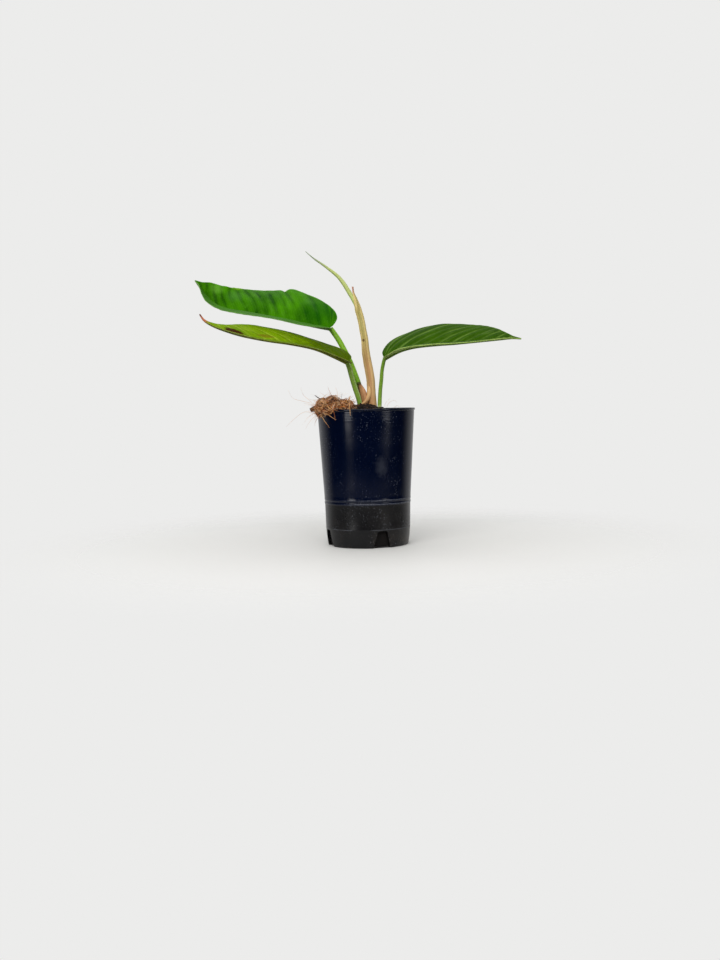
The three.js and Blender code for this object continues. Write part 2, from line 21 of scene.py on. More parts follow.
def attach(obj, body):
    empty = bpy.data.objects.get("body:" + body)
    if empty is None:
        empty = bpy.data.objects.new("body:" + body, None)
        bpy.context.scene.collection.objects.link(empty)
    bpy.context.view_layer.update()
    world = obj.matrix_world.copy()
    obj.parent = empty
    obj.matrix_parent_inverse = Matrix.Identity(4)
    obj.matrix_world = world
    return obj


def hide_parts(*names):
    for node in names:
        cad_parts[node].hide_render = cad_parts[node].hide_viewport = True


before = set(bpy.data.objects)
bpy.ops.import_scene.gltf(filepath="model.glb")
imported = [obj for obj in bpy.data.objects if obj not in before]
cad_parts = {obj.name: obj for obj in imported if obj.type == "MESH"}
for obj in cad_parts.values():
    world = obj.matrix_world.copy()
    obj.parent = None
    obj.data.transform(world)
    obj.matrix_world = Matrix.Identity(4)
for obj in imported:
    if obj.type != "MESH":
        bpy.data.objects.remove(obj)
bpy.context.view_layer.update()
MM = 0.001
print("solids:", sorted(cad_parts))

# %% [markdown]
# ## Camera, floor and light
#
# The camera stands about 0.9 m away, just above the height of the pot's rim, and looks slightly down.
# The floor is a disc that fades out before its edge, so no horizon shows behind the plant. The world
# is a plain studio: pale above and behind the plant, and dim on the viewer's side, because black
# plastic shows whatever stands in front of it. The view itself sees only the pale backdrop.

# %% Camera
VIEW = SimpleNamespace(place=(-0.00605, -0.9139, 0.1196), down=4.14, roll=-1.22, lens=41.25, sensor=36)

scene = bpy.context.scene
scene.view_settings.view_transform = "Standard"

camera = bpy.data.objects.new("camera", bpy.data.cameras.new("camera"))
camera.data.lens = VIEW.lens
camera.data.sensor_width = VIEW.sensor
camera.matrix_world = (
    Matrix.Translation(VIEW.place)
    @ Matrix.Rotation(math.radians(90 - VIEW.down), 4, "X")
    @ Matrix.Rotation(math.radians(VIEW.roll), 4, "Z")
)
scene.collection.objects.link(camera)
scene.camera = camera
print("camera at", tuple(camera.location))


# %% A helper that mixes node materials
def paint(red, green, blue):
    """A colour given as a screen shows it, from 0 to 255, as the shader wants it."""
    return (*Color((red / 255, green / 255, blue / 255)).from_srgb_to_scene_linear(), 1)


class Nodes:
    """A node tree in the making: each step adds a node and hands back its output."""

    def __init__(self, tree):
        self.tree = tree

    def set(self, socket, value):
        if isinstance(value, bpy.types.NodeSocket):
            self.tree.links.new(value, socket)
        else:
            socket.default_value = value

    def step(self, kind, inputs, output=0, **settings):
        node = self.tree.nodes.new("ShaderNode" + kind)
        for name, value in settings.items():
            setattr(node, name, value)
        for socket, value in inputs.items():
            self.set(node.inputs[socket], value)
        return node.outputs[output]

    def math(self, operation, a, b=0.0, clamp=False):
        return self.step("Math", {0: a, 1: b}, operation=operation, use_clamp=clamp)


class Recipe(Nodes):
    """A material, with its own words for the steps that most skins need."""

    def __init__(self, name, roughness=0.5, specular=0.5, specular_tint=(1, 1, 1, 1)):
        self.material = bpy.data.materials.new(name)
        self.material.use_nodes = True
        super().__init__(self.material.node_tree)
        self.shader = self.tree.nodes["Principled BSDF"].inputs
        self.shader["Roughness"].default_value = roughness
        self.shader["Specular IOR Level"].default_value = specular
        self.shader["Specular Tint"].default_value = specular_tint

    def place(self, kind="Object", scale=(1, 1, 1)):
        """Coordinates for a pattern: Object in metres, or UV along and round a piece."""
        return self.step("Mapping", {"Vector": self.step("TexCoord", {}, kind), "Scale": scale})

    def noise(self, where, scale=1.0, detail=3.0, roughness=0.5, distortion=0.0):
        sizes = {"Scale": scale, "Detail": detail, "Roughness": roughness, "Distortion": distortion}
        return self.step("TexNoise", {"Vector": where, **sizes})

    def streaks(self, lengthwise, across, scale, detail, roughness):
        """Noise over the UV map. The more often it changes across, the longer its streaks look."""
        return self.noise(self.place("UV", (lengthwise, across, 1)), scale, detail, roughness)

    def parts(self, vector):
        """The three numbers of a vector."""
        return [self.step("SeparateXYZ", {"Vector": vector}, name) for name in "XYZ"]

    def times(self, a, b):
        return self.math("MULTIPLY", a, b)

    def plus(self, a, b, clamp=False):
        return self.math("ADD", a, b, clamp)

    def minus(self, a, b, clamp=False):
        return self.math("SUBTRACT", a, b, clamp)

    def most(self, a, b):
        return self.math("MAXIMUM", a, b)

    def apart(self, a, b):
        """How far two numbers lie apart."""
        return self.math("ABSOLUTE", self.minus(a, b))

    def between(self, value, low, high):
        """0 below low, 1 above high, and a soft change in between. Turned round if high is lower."""
        inputs = {"Value": value, "From Min": low, "From Max": high}
        return self.step("MapRange", inputs, interpolation_type="SMOOTHSTEP")

    def mix(self, share, a, b):
        """Goes from colour a to colour b, each of them a step's output or a screen colour."""
        a, b = [paint(*colour) if isinstance(colour, tuple) else colour for colour in (a, b)]
        return self.step("Mix", {0: share, 6: a, 7: b}, 2, data_type="RGBA")

    def shades(self, pattern, low, high, a, b):
        """Colour a where a pattern is below low, colour b where it is above high."""
        return self.mix(self.between(pattern, low, high), a, b)

    def coats(self, colour, *coats):
        """Lays coats over a colour. Each is where it lies, from 0 to 1, its colour and its strength."""
        for share, coat, strength in coats:
            colour = self.mix(self.times(share, strength), colour, coat)
        return colour

    def bump(self, height, distance, strength=1.0, under=None):
        inputs = {"Height": height, "Distance": distance, "Strength": strength}
        if under is not None:
            inputs["Normal"] = under
        return self.step("Bump", inputs)

    def ball(self, centre, radii, lean=0, ragged=0.5, soft=0.25):
        """1 inside a ball of space, 0 outside, with a ragged edge that is soft over a share of it."""
        where = self.step("TexCoord", {}, "Object")
        inputs = {"Vector": where, "Location": centre, "Rotation": (0, lean, 0)}
        inputs["Scale"] = Vector(radii) * MM
        local = self.step("Mapping", inputs, vector_type="TEXTURE")
        distance = self.step("VectorMath", {0: local}, "Value", operation="LENGTH")
        distance = self.plus(distance, self.times(self.noise(where, 420, 3, 0.6), ragged))
        return self.between(distance, 1.0 + 0.5 * ragged, 1.0 - soft + 0.5 * ragged)

    def done(self, colour=None, roughness=None, normal=None):
        for name, value in (("Base Color", colour), ("Roughness", roughness), ("Normal", normal)):
            if value is not None:
                self.set(self.shader[name], value)
        return self.material


# %% Floor
FLOOR = SimpleNamespace(radius=2.5, clear_from=0.34, solid_to=0.06)

bm = bmesh.new()
bmesh.ops.create_circle(bm, cap_ends=True, segments=96, radius=FLOOR.radius)
floor_mesh = bpy.data.meshes.new("floor")
bm.to_mesh(floor_mesh)
bm.free()
floor = bpy.data.objects.new("floor", floor_mesh)
scene.collection.objects.link(floor)

recipe = Recipe("pale_floor", roughness=0.6, specular=0.3)
distance = recipe.step("VectorMath", {0: recipe.place()}, "Value", operation="LENGTH")
recipe.set(recipe.shader["Alpha"], recipe.between(distance, FLOOR.clear_from, FLOOR.solid_to))
floor_mesh.materials.append(recipe.done(colour=paint(224, 223, 220)))
print("floor radius", FLOOR.radius, "m, faded out by", FLOOR.clear_from, "m")

# %% World
world = bpy.data.worlds.new("studio")
scene.world = world
world.use_nodes = True
world.node_tree.nodes.clear()
sky = Nodes(world.node_tree)
direction = sky.step("TexCoord", {}, "Generated")


def brightness(axis, low, high, dark, bright):
    """Brightness that goes softly from dark to bright along one direction."""
    value = sky.step("SeparateXYZ", {"Vector": direction}, axis)
    inputs = {"Value": value, "From Min": low, "From Max": high, "To Min": dark, "To Max": bright}
    return sky.step("MapRange", inputs, interpolation_type="SMOOTHSTEP")


behind = brightness("Y", 0.1, 0.65, 0.02, 0.75)
above = brightness("Z", 0.2, 0.95, 0.0, 0.4)
studio = sky.step("Background", {"Strength": sky.math("ADD", behind, above)})
backdrop = sky.step("Background", {"Color": paint(236, 236, 235)})
seen = sky.step("LightPath", {}, "Is Camera Ray")
output = world.node_tree.nodes.new("ShaderNodeOutputWorld")
sky.set(output.inputs["Surface"], sky.step("MixShader", {0: seen, 1: studio, 2: backdrop}))
print("world:", len(world.node_tree.nodes), "nodes")


# %% Soft lights
def soft_light(name, place, aim, size, power):
    """A rectangular soft box at a place, turned to face a point."""
    light = bpy.data.lights.new(name, "AREA")
    light.shape = "RECTANGLE"
    light.size, light.size_y = size
    light.energy = power
    box = bpy.data.objects.new(name, light)
    turn = (Vector(aim) - Vector(place)).to_track_quat("-Z", "Y")
    box.matrix_world = Matrix.LocRotScale(Vector(place), turn, None)
    scene.collection.objects.link(box)
    return box


PLANT_MIDDLE = (0, 0, 0.14)
POT_MIDDLE = (0, 0, 0.06)
soft_light("overhead", (-0.2, -0.2, 1.5), PLANT_MIDDLE, (2.2, 2.2), 13)
soft_light("front_fill", (-0.2, -1.35, 1.05), PLANT_MIDDLE, (1.7, 0.8), 21)
soft_light("left_window", (-0.95, -1.05, 0.22), PLANT_MIDDLE, (0.4, 0.5), 3)
soft_light("right_window", (0.95, -0.95, 0.26), PLANT_MIDDLE, (0.3, 0.5), 2)
left_card = soft_light("left_card", (-0.35, -0.38, 0.07), POT_MIDDLE, (0.12, 0.07), 0.1)
right_card = soft_light("right_card", (0.39, -0.31, 0.085), POT_MIDDLE, (0.08, 0.06), 0.06)
for card in (left_card, right_card):
    card.visible_camera = False

# %% [markdown]
# ## Lines, sheets and tubes
#
# Every organ of a plant is a sheet: a leaf is one laid out, a stalk is one rolled round a line. So
# most pieces start as a flat grid, whose vertices are then moved to where the organ is. The grid
# brings its own UV map, which says how far along and how far across each point is, and the patterns
# on the skin follow that. The lines are the same ones that the CAD solids follow.

# %% Lines and sheets
class Line:
    """A smooth line through points, with places on it given as a share of its length."""

    def __init__(self, points, unit=MM):
        knots = [Vector(point) * unit for point in points]
        ends = [2 * knots[0] - knots[1], *knots, 2 * knots[-1] - knots[-2]]
        self.points = [knots[0]]
        for a, b, c, d in zip(ends, ends[1:], ends[2:], ends[3:]):
            before, here, after = [(q - p).length ** 0.5 for p, q in ((a, b), (b, c), (c, d))]
            leaving = here * ((b - a) / before - (c - a) / (before + here)) + (c - b)
            arriving = here * ((d - c) / after - (d - b) / (here + after)) + (c - b)
            self.points += interpolate_bezier(b, b + leaving / 3, c - arriving / 3, c, 25)[1:]
        self.reach = [0.0]
        for p, q in zip(self.points, self.points[1:]):
            self.reach.append(self.reach[-1] + (q - p).length)
        self.length = self.reach[-1]

    def at(self, share):
        """The point at a share of the length, and the direction there."""
        target = min(max(share, 0), 1) * self.length
        low = min(bisect_right(self.reach, target), len(self.reach) - 1) - 1
        p, q = self.points[low], self.points[low + 1]
        part = (target - self.reach[low]) / (self.reach[low + 1] - self.reach[low])
        before = self.points[max(low - 2, 0)]
        after = self.points[min(low + 3, len(self.points) - 1)]
        return p.lerp(q, part), (after - before).normalized()


def along(values, share):
    """The value at a share of a list of evenly spaced values, with smooth changes between them."""
    place = min(max(share, 0), 1) * (len(values) - 1)
    i = min(int(place), len(values) - 2)
    a, b = values[max(i - 1, 0)], values[i]
    c, d = values[i + 1], values[min(i + 2, len(values) - 1)]
    t = place - i
    leave, arrive = (c - a) / 2, (d - b) / 2
    return b + t * (leave + t * (3 * (c - b) - 2 * leave - arrive + t * (2 * (b - c) + leave + arrive)))


def hump(distance, width):
    """1 in the middle, and softly down to 0 on both sides."""
    return math.exp(-((distance / width) ** 2))


def sheet_over(shape, rows, columns, vein=None):
    """A grid whose vertices are moved to shape(u, v), both from 0 to 1. Where vein(u, v) is given,
    its number is kept at each vertex for the material."""
    bm = bmesh.new()
    bm.loops.layers.uv.new("UVMap")
    mark = bm.verts.layers.float.new("vein") if vein else None
    bmesh.ops.create_grid(bm, x_segments=rows, y_segments=columns, size=0.5, calc_uvs=True)
    for vert in bm.verts:
        u, v = vert.co.x + 0.5, vert.co.y + 0.5
        vert.co = shape(u, v)
        if vein:
            vert[mark] = vein(u, v)
    return bm


TOWARDS_VIEWER = Vector((0, -1, 0))


def around(line, share, angle, radius):
    """A point beside a line. Angle 0 faces the viewer, and 90 degrees faces the viewer's right."""
    point, ahead = line.at(share)
    front = (TOWARDS_VIEWER - ahead * TOWARDS_VIEWER.dot(ahead)).normalized()
    right = ahead.cross(front)
    return point + radius * (front * math.cos(angle) + right * math.sin(angle))


def tube(line, radius, rows=60, columns=24):
    """A closed tube round a line, with its seam at the back. radius(share, angle) is in metres."""
    def shape(u, v):
        angle = math.tau * (v - 0.5)
        return around(line, u, angle, radius(u, angle))

    bm = sheet_over(shape, rows, columns)
    bmesh.ops.remove_doubles(bm, verts=bm.verts, dist=1e-7)
    bmesh.ops.holes_fill(bm, edges=[e for e in bm.edges if e.is_boundary], sides=0)
    bmesh.ops.recalc_face_normals(bm, faces=bm.faces)
    return bm


def add_piece(name, bm, materials, nodes=(), slot=None, crease=40):
    """Makes a smooth shaded object of a bmesh, and ties it to the frame."""
    for face in bm.faces:
        face.smooth = True
    for edge in bm.edges:
        if len(edge.link_faces) == 2:
            edge.smooth = edge.calc_face_angle(0) < math.radians(crease)
    mesh = bpy.data.meshes.new(name)
    bm.to_mesh(mesh)
    bm.free()
    for material in materials:
        mesh.materials.append(material)
    piece = bpy.data.objects.new(name, mesh)
    scene.collection.objects.link(piece)
    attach(piece, "root")
    if nodes:
        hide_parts(*nodes)
    triangles = sum(len(face.vertices) - 2 for face in mesh.polygons)
    print(f"{name}: {triangles} triangles")


def join_in(bm, other, material=None):
    """Adds another bmesh to bm. Its faces take one material, or keep their own."""
    for face in other.faces:
        face.material_index = face.material_index if material is None else material
    spare = bpy.data.meshes.new("spare")
    other.to_mesh(spare)
    other.free()
    bm.from_mesh(spare)
    bpy.data.meshes.remove(spare)


def merge(bm, distance=1e-6):
    """Joins vertices that lie in one place, and turns all faces outwards."""
    bmesh.ops.remove_doubles(bm, verts=bm.verts, dist=distance)
    bmesh.ops.recalc_face_normals(bm, faces=bm.faces)


# %% [markdown]
# ## The pot
#
# A nursery pot is blown or moulded in thin black plastic. It is a turned shape, so its outline is
# spun round the axis once. The faint rings under the rim stand out by 0.06 mm and the double ridge
# above the base by 0.3 mm, and only the gloss shows them, so they have to be in the mesh. The drain
# notches are cut out of the finished wall.

# %% Outline of the pot
POT = SimpleNamespace(height=112.8, wall_top=40.2, wall=1.25, floor=1.2)
BAND = SimpleNamespace(top=34.2, top_radius=35.5)
RINGS = SimpleNamespace(count=6, first=103.2, step=1.25, depth=0.06, width=0.9)


def wall_radius(z):
    """Outer radius of the upper wall at a height."""
    share = (z - BAND.top) / (POT.height - BAND.top)
    return BAND.top_radius + share * (POT.wall_top - BAND.top_radius)


outline = [
    (31.9, 0), (32.7, 0.15), (33.3, 0.6), (33.6, 1.3), (33.7, 2.2),
    (34.5, 8), (35.1, 14.6), (35.16, 15.1), (35.12, 15.6), (35.3, 24), (35.5, 34),
    (35.6, 34.6), (35.64, 35.0), (35.84, 35.3), (35.9, 35.7), (35.86, 36.2), (35.62, 36.6),
    (35.58, 37.2), (35.64, 37.7), (35.86, 38.1), (35.92, 38.6), (35.92, 39.3), (35.86, 39.7),
]
outline += [(wall_radius(z), z) for z in (42, 50, 60, 70, 80, 90, 96, 101.5)]
for ring in range(RINGS.count):
    z = RINGS.first + RINGS.step * ring
    middle = (wall_radius(z) + RINGS.depth, z + RINGS.width / 2)
    outline += [(wall_radius(z), z), middle, (wall_radius(z), z + RINGS.width)]
outline += [
    (wall_radius(110.8), 110.8), (40.5, 111.05), (40.75, 111.4), (40.8, 111.9), (40.7, 112.4),
    (40.4, 112.7), (39.9, 112.8), (39.2, 112.7), (39.0, 112.2), (38.95, 111.4), (38.9, 108.8),
    (BAND.top_radius - POT.wall, BAND.top), (32.8, 3.4), (32, 1.7), (30.4, POT.floor),
]

bm = bmesh.new()
chain = [bm.verts.new(Vector((0, -radius, z)) * MM) for radius, z in [(0, 0), *outline, (0, POT.floor)]]
for a, b in zip(chain, chain[1:]):
    bm.edges.new((a, b))
bmesh.ops.spin(
    bm, geom=bm.verts[:] + bm.edges[:], cent=(0, 0, 0), axis=(0, 0, 1),
    angle=math.tau, steps=144, use_merge=True,
)
merge(bm)
pot_shell = bpy.data.meshes.new("pot_shell")
bm.to_mesh(pot_shell)
bm.free()
print("turned pot:", len(pot_shell.polygons), "faces")

# %% Cut the drain notches
NOTCH = SimpleNamespace(
    count=4, first=19, height=14, top=8, bottom=15, inner=30.5, outer=38.5, corner=1.2,
)

cutters = bmesh.new()
for i in range(NOTCH.count):
    bm = bmesh.new()
    foot, head = NOTCH.bottom / 2, NOTCH.top / 2
    corners = [(-foot, -1), (foot, -1), (head, NOTCH.height), (-head, NOTCH.height)]
    face = bm.faces.new([bm.verts.new(Vector((x, -NOTCH.inner, z)) * MM) for x, z in corners])
    grown = bmesh.ops.extrude_face_region(bm, geom=[face])["geom"]
    moved = [part for part in grown if isinstance(part, bmesh.types.BMVert)]
    bmesh.ops.translate(bm, verts=moved, vec=(0, (NOTCH.inner - NOTCH.outer) * MM, 0))
    turn = Matrix.Rotation(math.radians(NOTCH.first) + math.tau * i / NOTCH.count, 3, "Z")
    bmesh.ops.rotate(bm, verts=bm.verts, cent=(0, 0, 0), matrix=turn)
    top_edges = [edge for edge in bm.edges if min(vert.co.z for vert in edge.verts) > 0.01]
    radial = [e for e in top_edges if abs(e.verts[0].co.xy.length - e.verts[1].co.xy.length) > 5 * MM]
    bmesh.ops.bevel(
        bm, geom=radial, offset=NOTCH.corner * MM, segments=4, profile=0.5, affect="EDGES", material=-1
    )
    bmesh.ops.recalc_face_normals(bm, faces=bm.faces)
    join_in(cutters, bm)

cutter_mesh = bpy.data.meshes.new("notch_cutters")
cutters.to_mesh(cutter_mesh)
cutters.free()
cutter = bpy.data.objects.new("notch_cutters", cutter_mesh)
uncut = bpy.data.objects.new("uncut_pot", pot_shell)
for part in (cutter, uncut):
    scene.collection.objects.link(part)
cut = uncut.modifiers.new("notches", "BOOLEAN")
cut.operation = "DIFFERENCE"
cut.solver = "EXACT"
cut.object = cutter
pot_bm = bmesh.new()
pot_bm.from_object(uncut, bpy.context.evaluated_depsgraph_get())
for part in (cutter, uncut):
    bpy.data.objects.remove(part)
bmesh.ops.remove_doubles(pot_bm, verts=pot_bm.verts, dist=2e-6)
print("cut pot:", len(pot_bm.faces), "faces")

# %% [markdown]
# The plastic is nearly black with a blue cast, and glossy above the double ridge. The base band is
# duller, with a little brown dust on it. Specks of dust, fine scratches and a smudge break up the
# gloss: they change the roughness more than the colour. The crests of the double ridge, more on the
# right side, and the bead at 15 mm get pale paint as painted highlights.

# %% Plastic of the pot
recipe = Recipe("pot_plastic", specular=0.25)
where = recipe.place()
across_pot, _, height = recipe.parts(where)
cloudy = recipe.noise(where, 38, 4, 0.6)
fine = recipe.noise(where, 900, 3, 0.6)
patchy = recipe.between(recipe.noise(where, 46, 3, 0.6), 0.4, 0.58)
speck = recipe.between(recipe.noise(where, 900, 1, 0.4), 0.68, 0.74)
from_scratch = recipe.apart(recipe.noise(where, 120, 2, 0.5, 0.6), 0.5)
scratch = recipe.times(recipe.between(from_scratch, 0.009, 0.003), recipe.between(fine, 0.5, 0.6))
wear = recipe.times(recipe.most(speck, scratch), patchy)
smudge = recipe.ball(Vector((11.5, -36, 66)) * MM, (7, 7, 11), ragged=0.8, soft=0.9)
# Painted highlight: pale paint on the crests of the double ridge, stronger on the right side where the
# light catches them.
ridges = [recipe.between(recipe.apart(height, z * MM), 0.7 * MM, 0.3 * MM) for z in (35.8, 38.9)]
lit_right_side = recipe.times(recipe.between(across_pot, -40 * MM, 30 * MM), recipe.between(fine, 0.3, 0.6))
# Painted highlight: a pale line along the small bead at 15 mm.
foot_line = recipe.between(recipe.apart(height, 15 * MM), 0.4 * MM, 0.1 * MM)
# Real dust, scratches and the smudge are mixed here with the painted highlights on the ridges and the bead.
dust_and_highlight = recipe.most(recipe.times(wear, 0.2), recipe.times(smudge, 0.08))
dust_and_highlight = recipe.most(dust_and_highlight, recipe.times(recipe.times(recipe.most(*ridges), lit_right_side), 0.28))
dust_and_highlight = recipe.most(dust_and_highlight, recipe.times(recipe.times(foot_line, patchy), 0.2))

band = recipe.between(height, 35.6 * MM, 34.4 * MM)
soil = recipe.between(recipe.plus(cloudy, recipe.times(fine, 0.5)), 0.7, 0.98)
low = recipe.between(height, 16 * MM, 1 * MM)
soil_low = recipe.times(soil, recipe.plus(recipe.times(low, 0.28), 0.05))
glossy_part = recipe.mix(recipe.times(cloudy, 0.5), (0, 5, 24), (3, 12, 38))
colour = recipe.mix(band, glossy_part, recipe.mix(cloudy, (2, 2, 4), (8, 8, 11)))
colour = recipe.coats(colour, (soil_low, (80, 70, 60), band), (dust_and_highlight, (128, 132, 142), 1))
rough = recipe.plus(0.14, recipe.times(recipe.between(cloudy, 0.35, 0.75), 0.12))
rough = recipe.plus(rough, recipe.times(band, 0.08))
rough = recipe.plus(rough, recipe.times(dust_and_highlight, 0.8), clamp=True)
waves = recipe.bump(recipe.noise(recipe.place(scale=(22, 22, 60)), 1, 2, 0.5), 0.5 * MM, 0.2)
plastic = recipe.done(colour, rough, recipe.bump(fine, 0.05 * MM, 0.12, under=waves))
add_piece("pot_shell", pot_bm, [plastic], ["pot"], "pot_plastic", crease=32)

# %% [markdown]
# ## The potting mix
#
# The mix fills the pot, so one closed sheet follows its floor, its side and its top, which is
# mounded round the stalks. Noise makes the top crumbly, and loose crumbs and flakes of bark lie on
# it. The crumbs are plain balls of twenty faces, squashed and turned, because there are hundreds.

# %% Shape of the mix
MIX = SimpleNamespace(
    level=107, mound=9.5, spread=17, centre=Vector((-1, -4)), side_gap=1.6, low=1.5, edge=104,
    floor_radius=31, side_foot=31.2, crumbs=620,
)
MIX_CORNER = wall_radius(MIX.edge) - MIX.side_gap
FLOOR_END, SIDE_END = 0.08, 0.3


def mix_height(x, y):
    """Height of the mix in millimetres, the same form as the solid under it, with a crumbly skin."""
    distance = (Vector((x, y)) - MIX.centre).length
    mound = MIX.mound * hump(distance, MIX.spread)
    uneven = math.sin(x * 0.55 + 1) * math.cos(y * 0.47) + 0.6 * math.sin(x * 0.21 - y * 0.8)
    crumbly = noise.fractal(Vector((x * 0.42, y * 0.42, 3.1)), 0.9, 2.1, 5)
    return MIX.level + mound + 0.7 * uneven + 0.85 * crumbly


def mix_shape(u, v):
    """The sheet runs out along the floor, up the side, and in again over the top."""
    angle = math.tau * v
    if u < FLOOR_END:
        radius, z = MIX.floor_radius * u / FLOOR_END, MIX.low
    elif u < SIDE_END:
        rise = (u - FLOOR_END) / (SIDE_END - FLOOR_END)
        z = MIX.low + rise * (MIX.edge - MIX.low)
        radius = MIX.side_foot + rise * (MIX_CORNER - MIX.side_foot)
    else:
        radius = MIX_CORNER * (1 - u) / (1 - SIDE_END)
        z = mix_height(radius * math.sin(angle), radius * math.cos(angle))
    return Vector((radius * math.sin(angle), radius * math.cos(angle), z)) * MM


mix_bm = sheet_over(mix_shape, 150, 200)
merge(mix_bm)

chance = random.Random(7)
for _ in range(MIX.crumbs):
    radius = (MIX_CORNER - 1.5) * math.sqrt(chance.random())
    angle = math.tau * chance.random()
    x, y = radius * math.cos(angle), radius * math.sin(angle)
    size = chance.choice([0.45, 0.6, 0.8, 1.1, 1.6])
    flat = chance.uniform(0.4, 0.9)
    turn = Matrix.Rotation(chance.uniform(-0.5, 0.5), 4, "X") @ Matrix.Rotation(angle * 7, 4, "Z")
    stretch = Matrix.Diagonal((size, size * chance.uniform(0.5, 1), size * flat, 1 / MM)) * MM
    place = Matrix.Translation(Vector((x, y, mix_height(x, y) + 0.25 * size)) * MM)
    crumb = bmesh.new()
    bmesh.ops.create_icosphere(crumb, subdivisions=1, radius=1, matrix=place @ turn @ stretch)
    for vert in crumb.verts:
        vert.co += 0.12 * size * MM * Vector((chance.random(), chance.random(), chance.random()))
    join_in(mix_bm, crumb, chance.choice([0, 0, 1]))
print("mix with crumbs:", len(mix_bm.faces), "faces")

# %% Look of the mix
recipe = Recipe("potting_mix", roughness=0.95, specular=0.25)
where = recipe.place()
patches = recipe.noise(where, 260, 5, 0.65)
grit = recipe.noise(where, 1700, 3, 0.6)
# Painted shade: the mix low in the pot, seen only through the drain notches, is painted nearly black.
shade_deep_in_pot = recipe.between(recipe.parts(where)[2], 90 * MM, 60 * MM)
colour = recipe.shades(patches, 0.36, 0.66, (10, 8, 8), (46, 33, 28))
gritty = recipe.between(grit, 0.6, 0.74)
colour = recipe.coats(colour, (gritty, (96, 68, 52), 1), (shade_deep_in_pot, (3, 2, 2), 0.9))
lumpy = recipe.bump(patches, 0.6 * MM, 0.8)
wet_mix = recipe.done(colour, normal=recipe.bump(grit, 0.3 * MM, 0.7, under=lumpy))

recipe = Recipe("bark_crumbs", roughness=0.85, specular=0.3)
streaks = recipe.noise(recipe.place(scale=(400, 1600, 900)), 1, 3, 0.6)
colour = recipe.shades(streaks, 0.35, 0.7, (34, 22, 17), (104, 70, 48))
bark = recipe.done(colour, normal=recipe.bump(streaks, 0.2 * MM, 0.6))

add_piece("potting_mix_top", mix_bm, [wet_mix, bark], ["potting_mix"], "potting_mix", crease=60)

# %% [markdown]
# ## The old stem and its fibre
#
# The plant was cut from an older one, and a piece of that stem still comes in over the rim. It is a
# tube with leaf scars. Round it lies what is left of its rotted sheaths: a mat of brown fibre. The
# mat has a lumpy core, so that no light comes through, and over a thousand strands that creep over
# it. The core is painted dark, and so are most strands that lie close on it: this is painted shade
# for the gaps deep in the mat. A strand is a curve with a thin bevel, which is far quicker than a
# mesh for each, and all of them are made into one mesh at the end.

# %% Old stem
STEM_LINE = Line([
    (-45.2, -15.6, 112.4), (-37, -14.2, 115.3), (-26, -12, 114), (-15, -7.5, 108.5), (-3, -1.5, 103.5),
])
SCARS = SimpleNamespace(count=9, height=0.3, width=0.12)


def stem_radius(u, angle):
    from_scar = (u * SCARS.count) % 1 - 0.5
    scar = SCARS.height * hump(from_scar, SCARS.width)
    rough = 0.25 * noise.noise(Vector((u * 30, math.cos(angle) * 1.5, math.sin(angle) * 1.5)))
    return (along([1.75, 1.9, 2.3, 2.9, 3.3], u) + scar + rough) * MM


stem_bm = tube(STEM_LINE, stem_radius, rows=120, columns=28)
ends = [face for face in stem_bm.faces if len(face.verts) > 4]
cut_end = min(ends, key=lambda face: face.calc_center_median().x)
for thickness, depth in ((0.45, -0.1), (0.5, -0.5)):
    bmesh.ops.inset_region(stem_bm, faces=[cut_end], thickness=thickness * MM, depth=depth * MM)

recipe = Recipe("old_stem", roughness=0.85, specular=0.3)
bark_noise = recipe.noise(recipe.place(), 420, 5, 0.65)
colour = recipe.shades(bark_noise, 0.32, 0.7, (38, 22, 14), (112, 74, 44))
old_bark = recipe.done(colour, normal=recipe.bump(bark_noise, 0.4 * MM, 0.8))
add_piece("old_stem_cane", stem_bm, [old_bark], ["stem"], "old_stem")

# %% Core of the fibre mat
LUMPS = [(Vector(centre), Vector(radii)) for centre, radii in [
    ((-38, -16.5, 111.6), (3.5, 5, 5.2)),
    ((-33.5, -17, 115.2), (6.5, 7.5, 6)),
    ((-26.5, -17, 116), (7, 9, 6.8)),
    ((-18.5, -15, 114.4), (6.5, 8.5, 5.4)),
    ((-14, -11.5, 114.2), (4.4, 6, 4.8)),
    ((-29, -26.5, 112.8), (6, 5, 3.8)),
]]
CORE_SHARE = 0.88

# The core takes the first, dark fibre tone: painted shade for the gaps between the strands.
mat_bm = bmesh.new()
for centre, radii in LUMPS:
    lump = bmesh.new()
    place = Matrix.LocRotScale(centre * MM, None, radii * CORE_SHARE * MM)
    bmesh.ops.create_icosphere(lump, subdivisions=4, radius=1, matrix=place)
    join_in(mat_bm, lump)
mat_bm.normal_update()
for vert in mat_bm.verts:
    vert.co += vert.normal * 0.6 * MM * noise.fractal(vert.co / (2.4 * MM), 1.0, 2.0, 4)
print("core of the mat:", len(mat_bm.faces), "faces")


def on_mat(point, lift):
    """The nearest place on the mat's skin, lifted off it by a share, and clear of the pot's wall."""
    for _ in range(4):
        depth, centre = min(
            (Vector(((point - c).x / r.x, (point - c).y / r.y, (point - c).z / r.z)).length, tuple(c))
            for c, r in LUMPS
        )
        point = Vector(centre) + (point - Vector(centre)) * (1 + lift) / max(depth, 0.05)
    return clear_of_wall(point)


WALL = SimpleNamespace(inside=36, outside=41.4, above=0.5)


def clear_of_wall(point):
    """Moves a point that lies in the pot's wall out to just in front of it."""
    radius = point.xy.length
    if point.z < POT.height + WALL.above and WALL.inside < radius < WALL.outside:
        outside = WALL.outside / radius
        return Vector((point.x * outside, point.y * outside, point.z))
    return point


# %% Strands
FIBRE_STEPS = 9
LUMP_WEIGHTS = [2, 4, 5, 4, 2, 3]


def any_direction(chance):
    return Vector((chance.gauss(0, 1), chance.gauss(0, 1), chance.gauss(0, 1))).normalized()


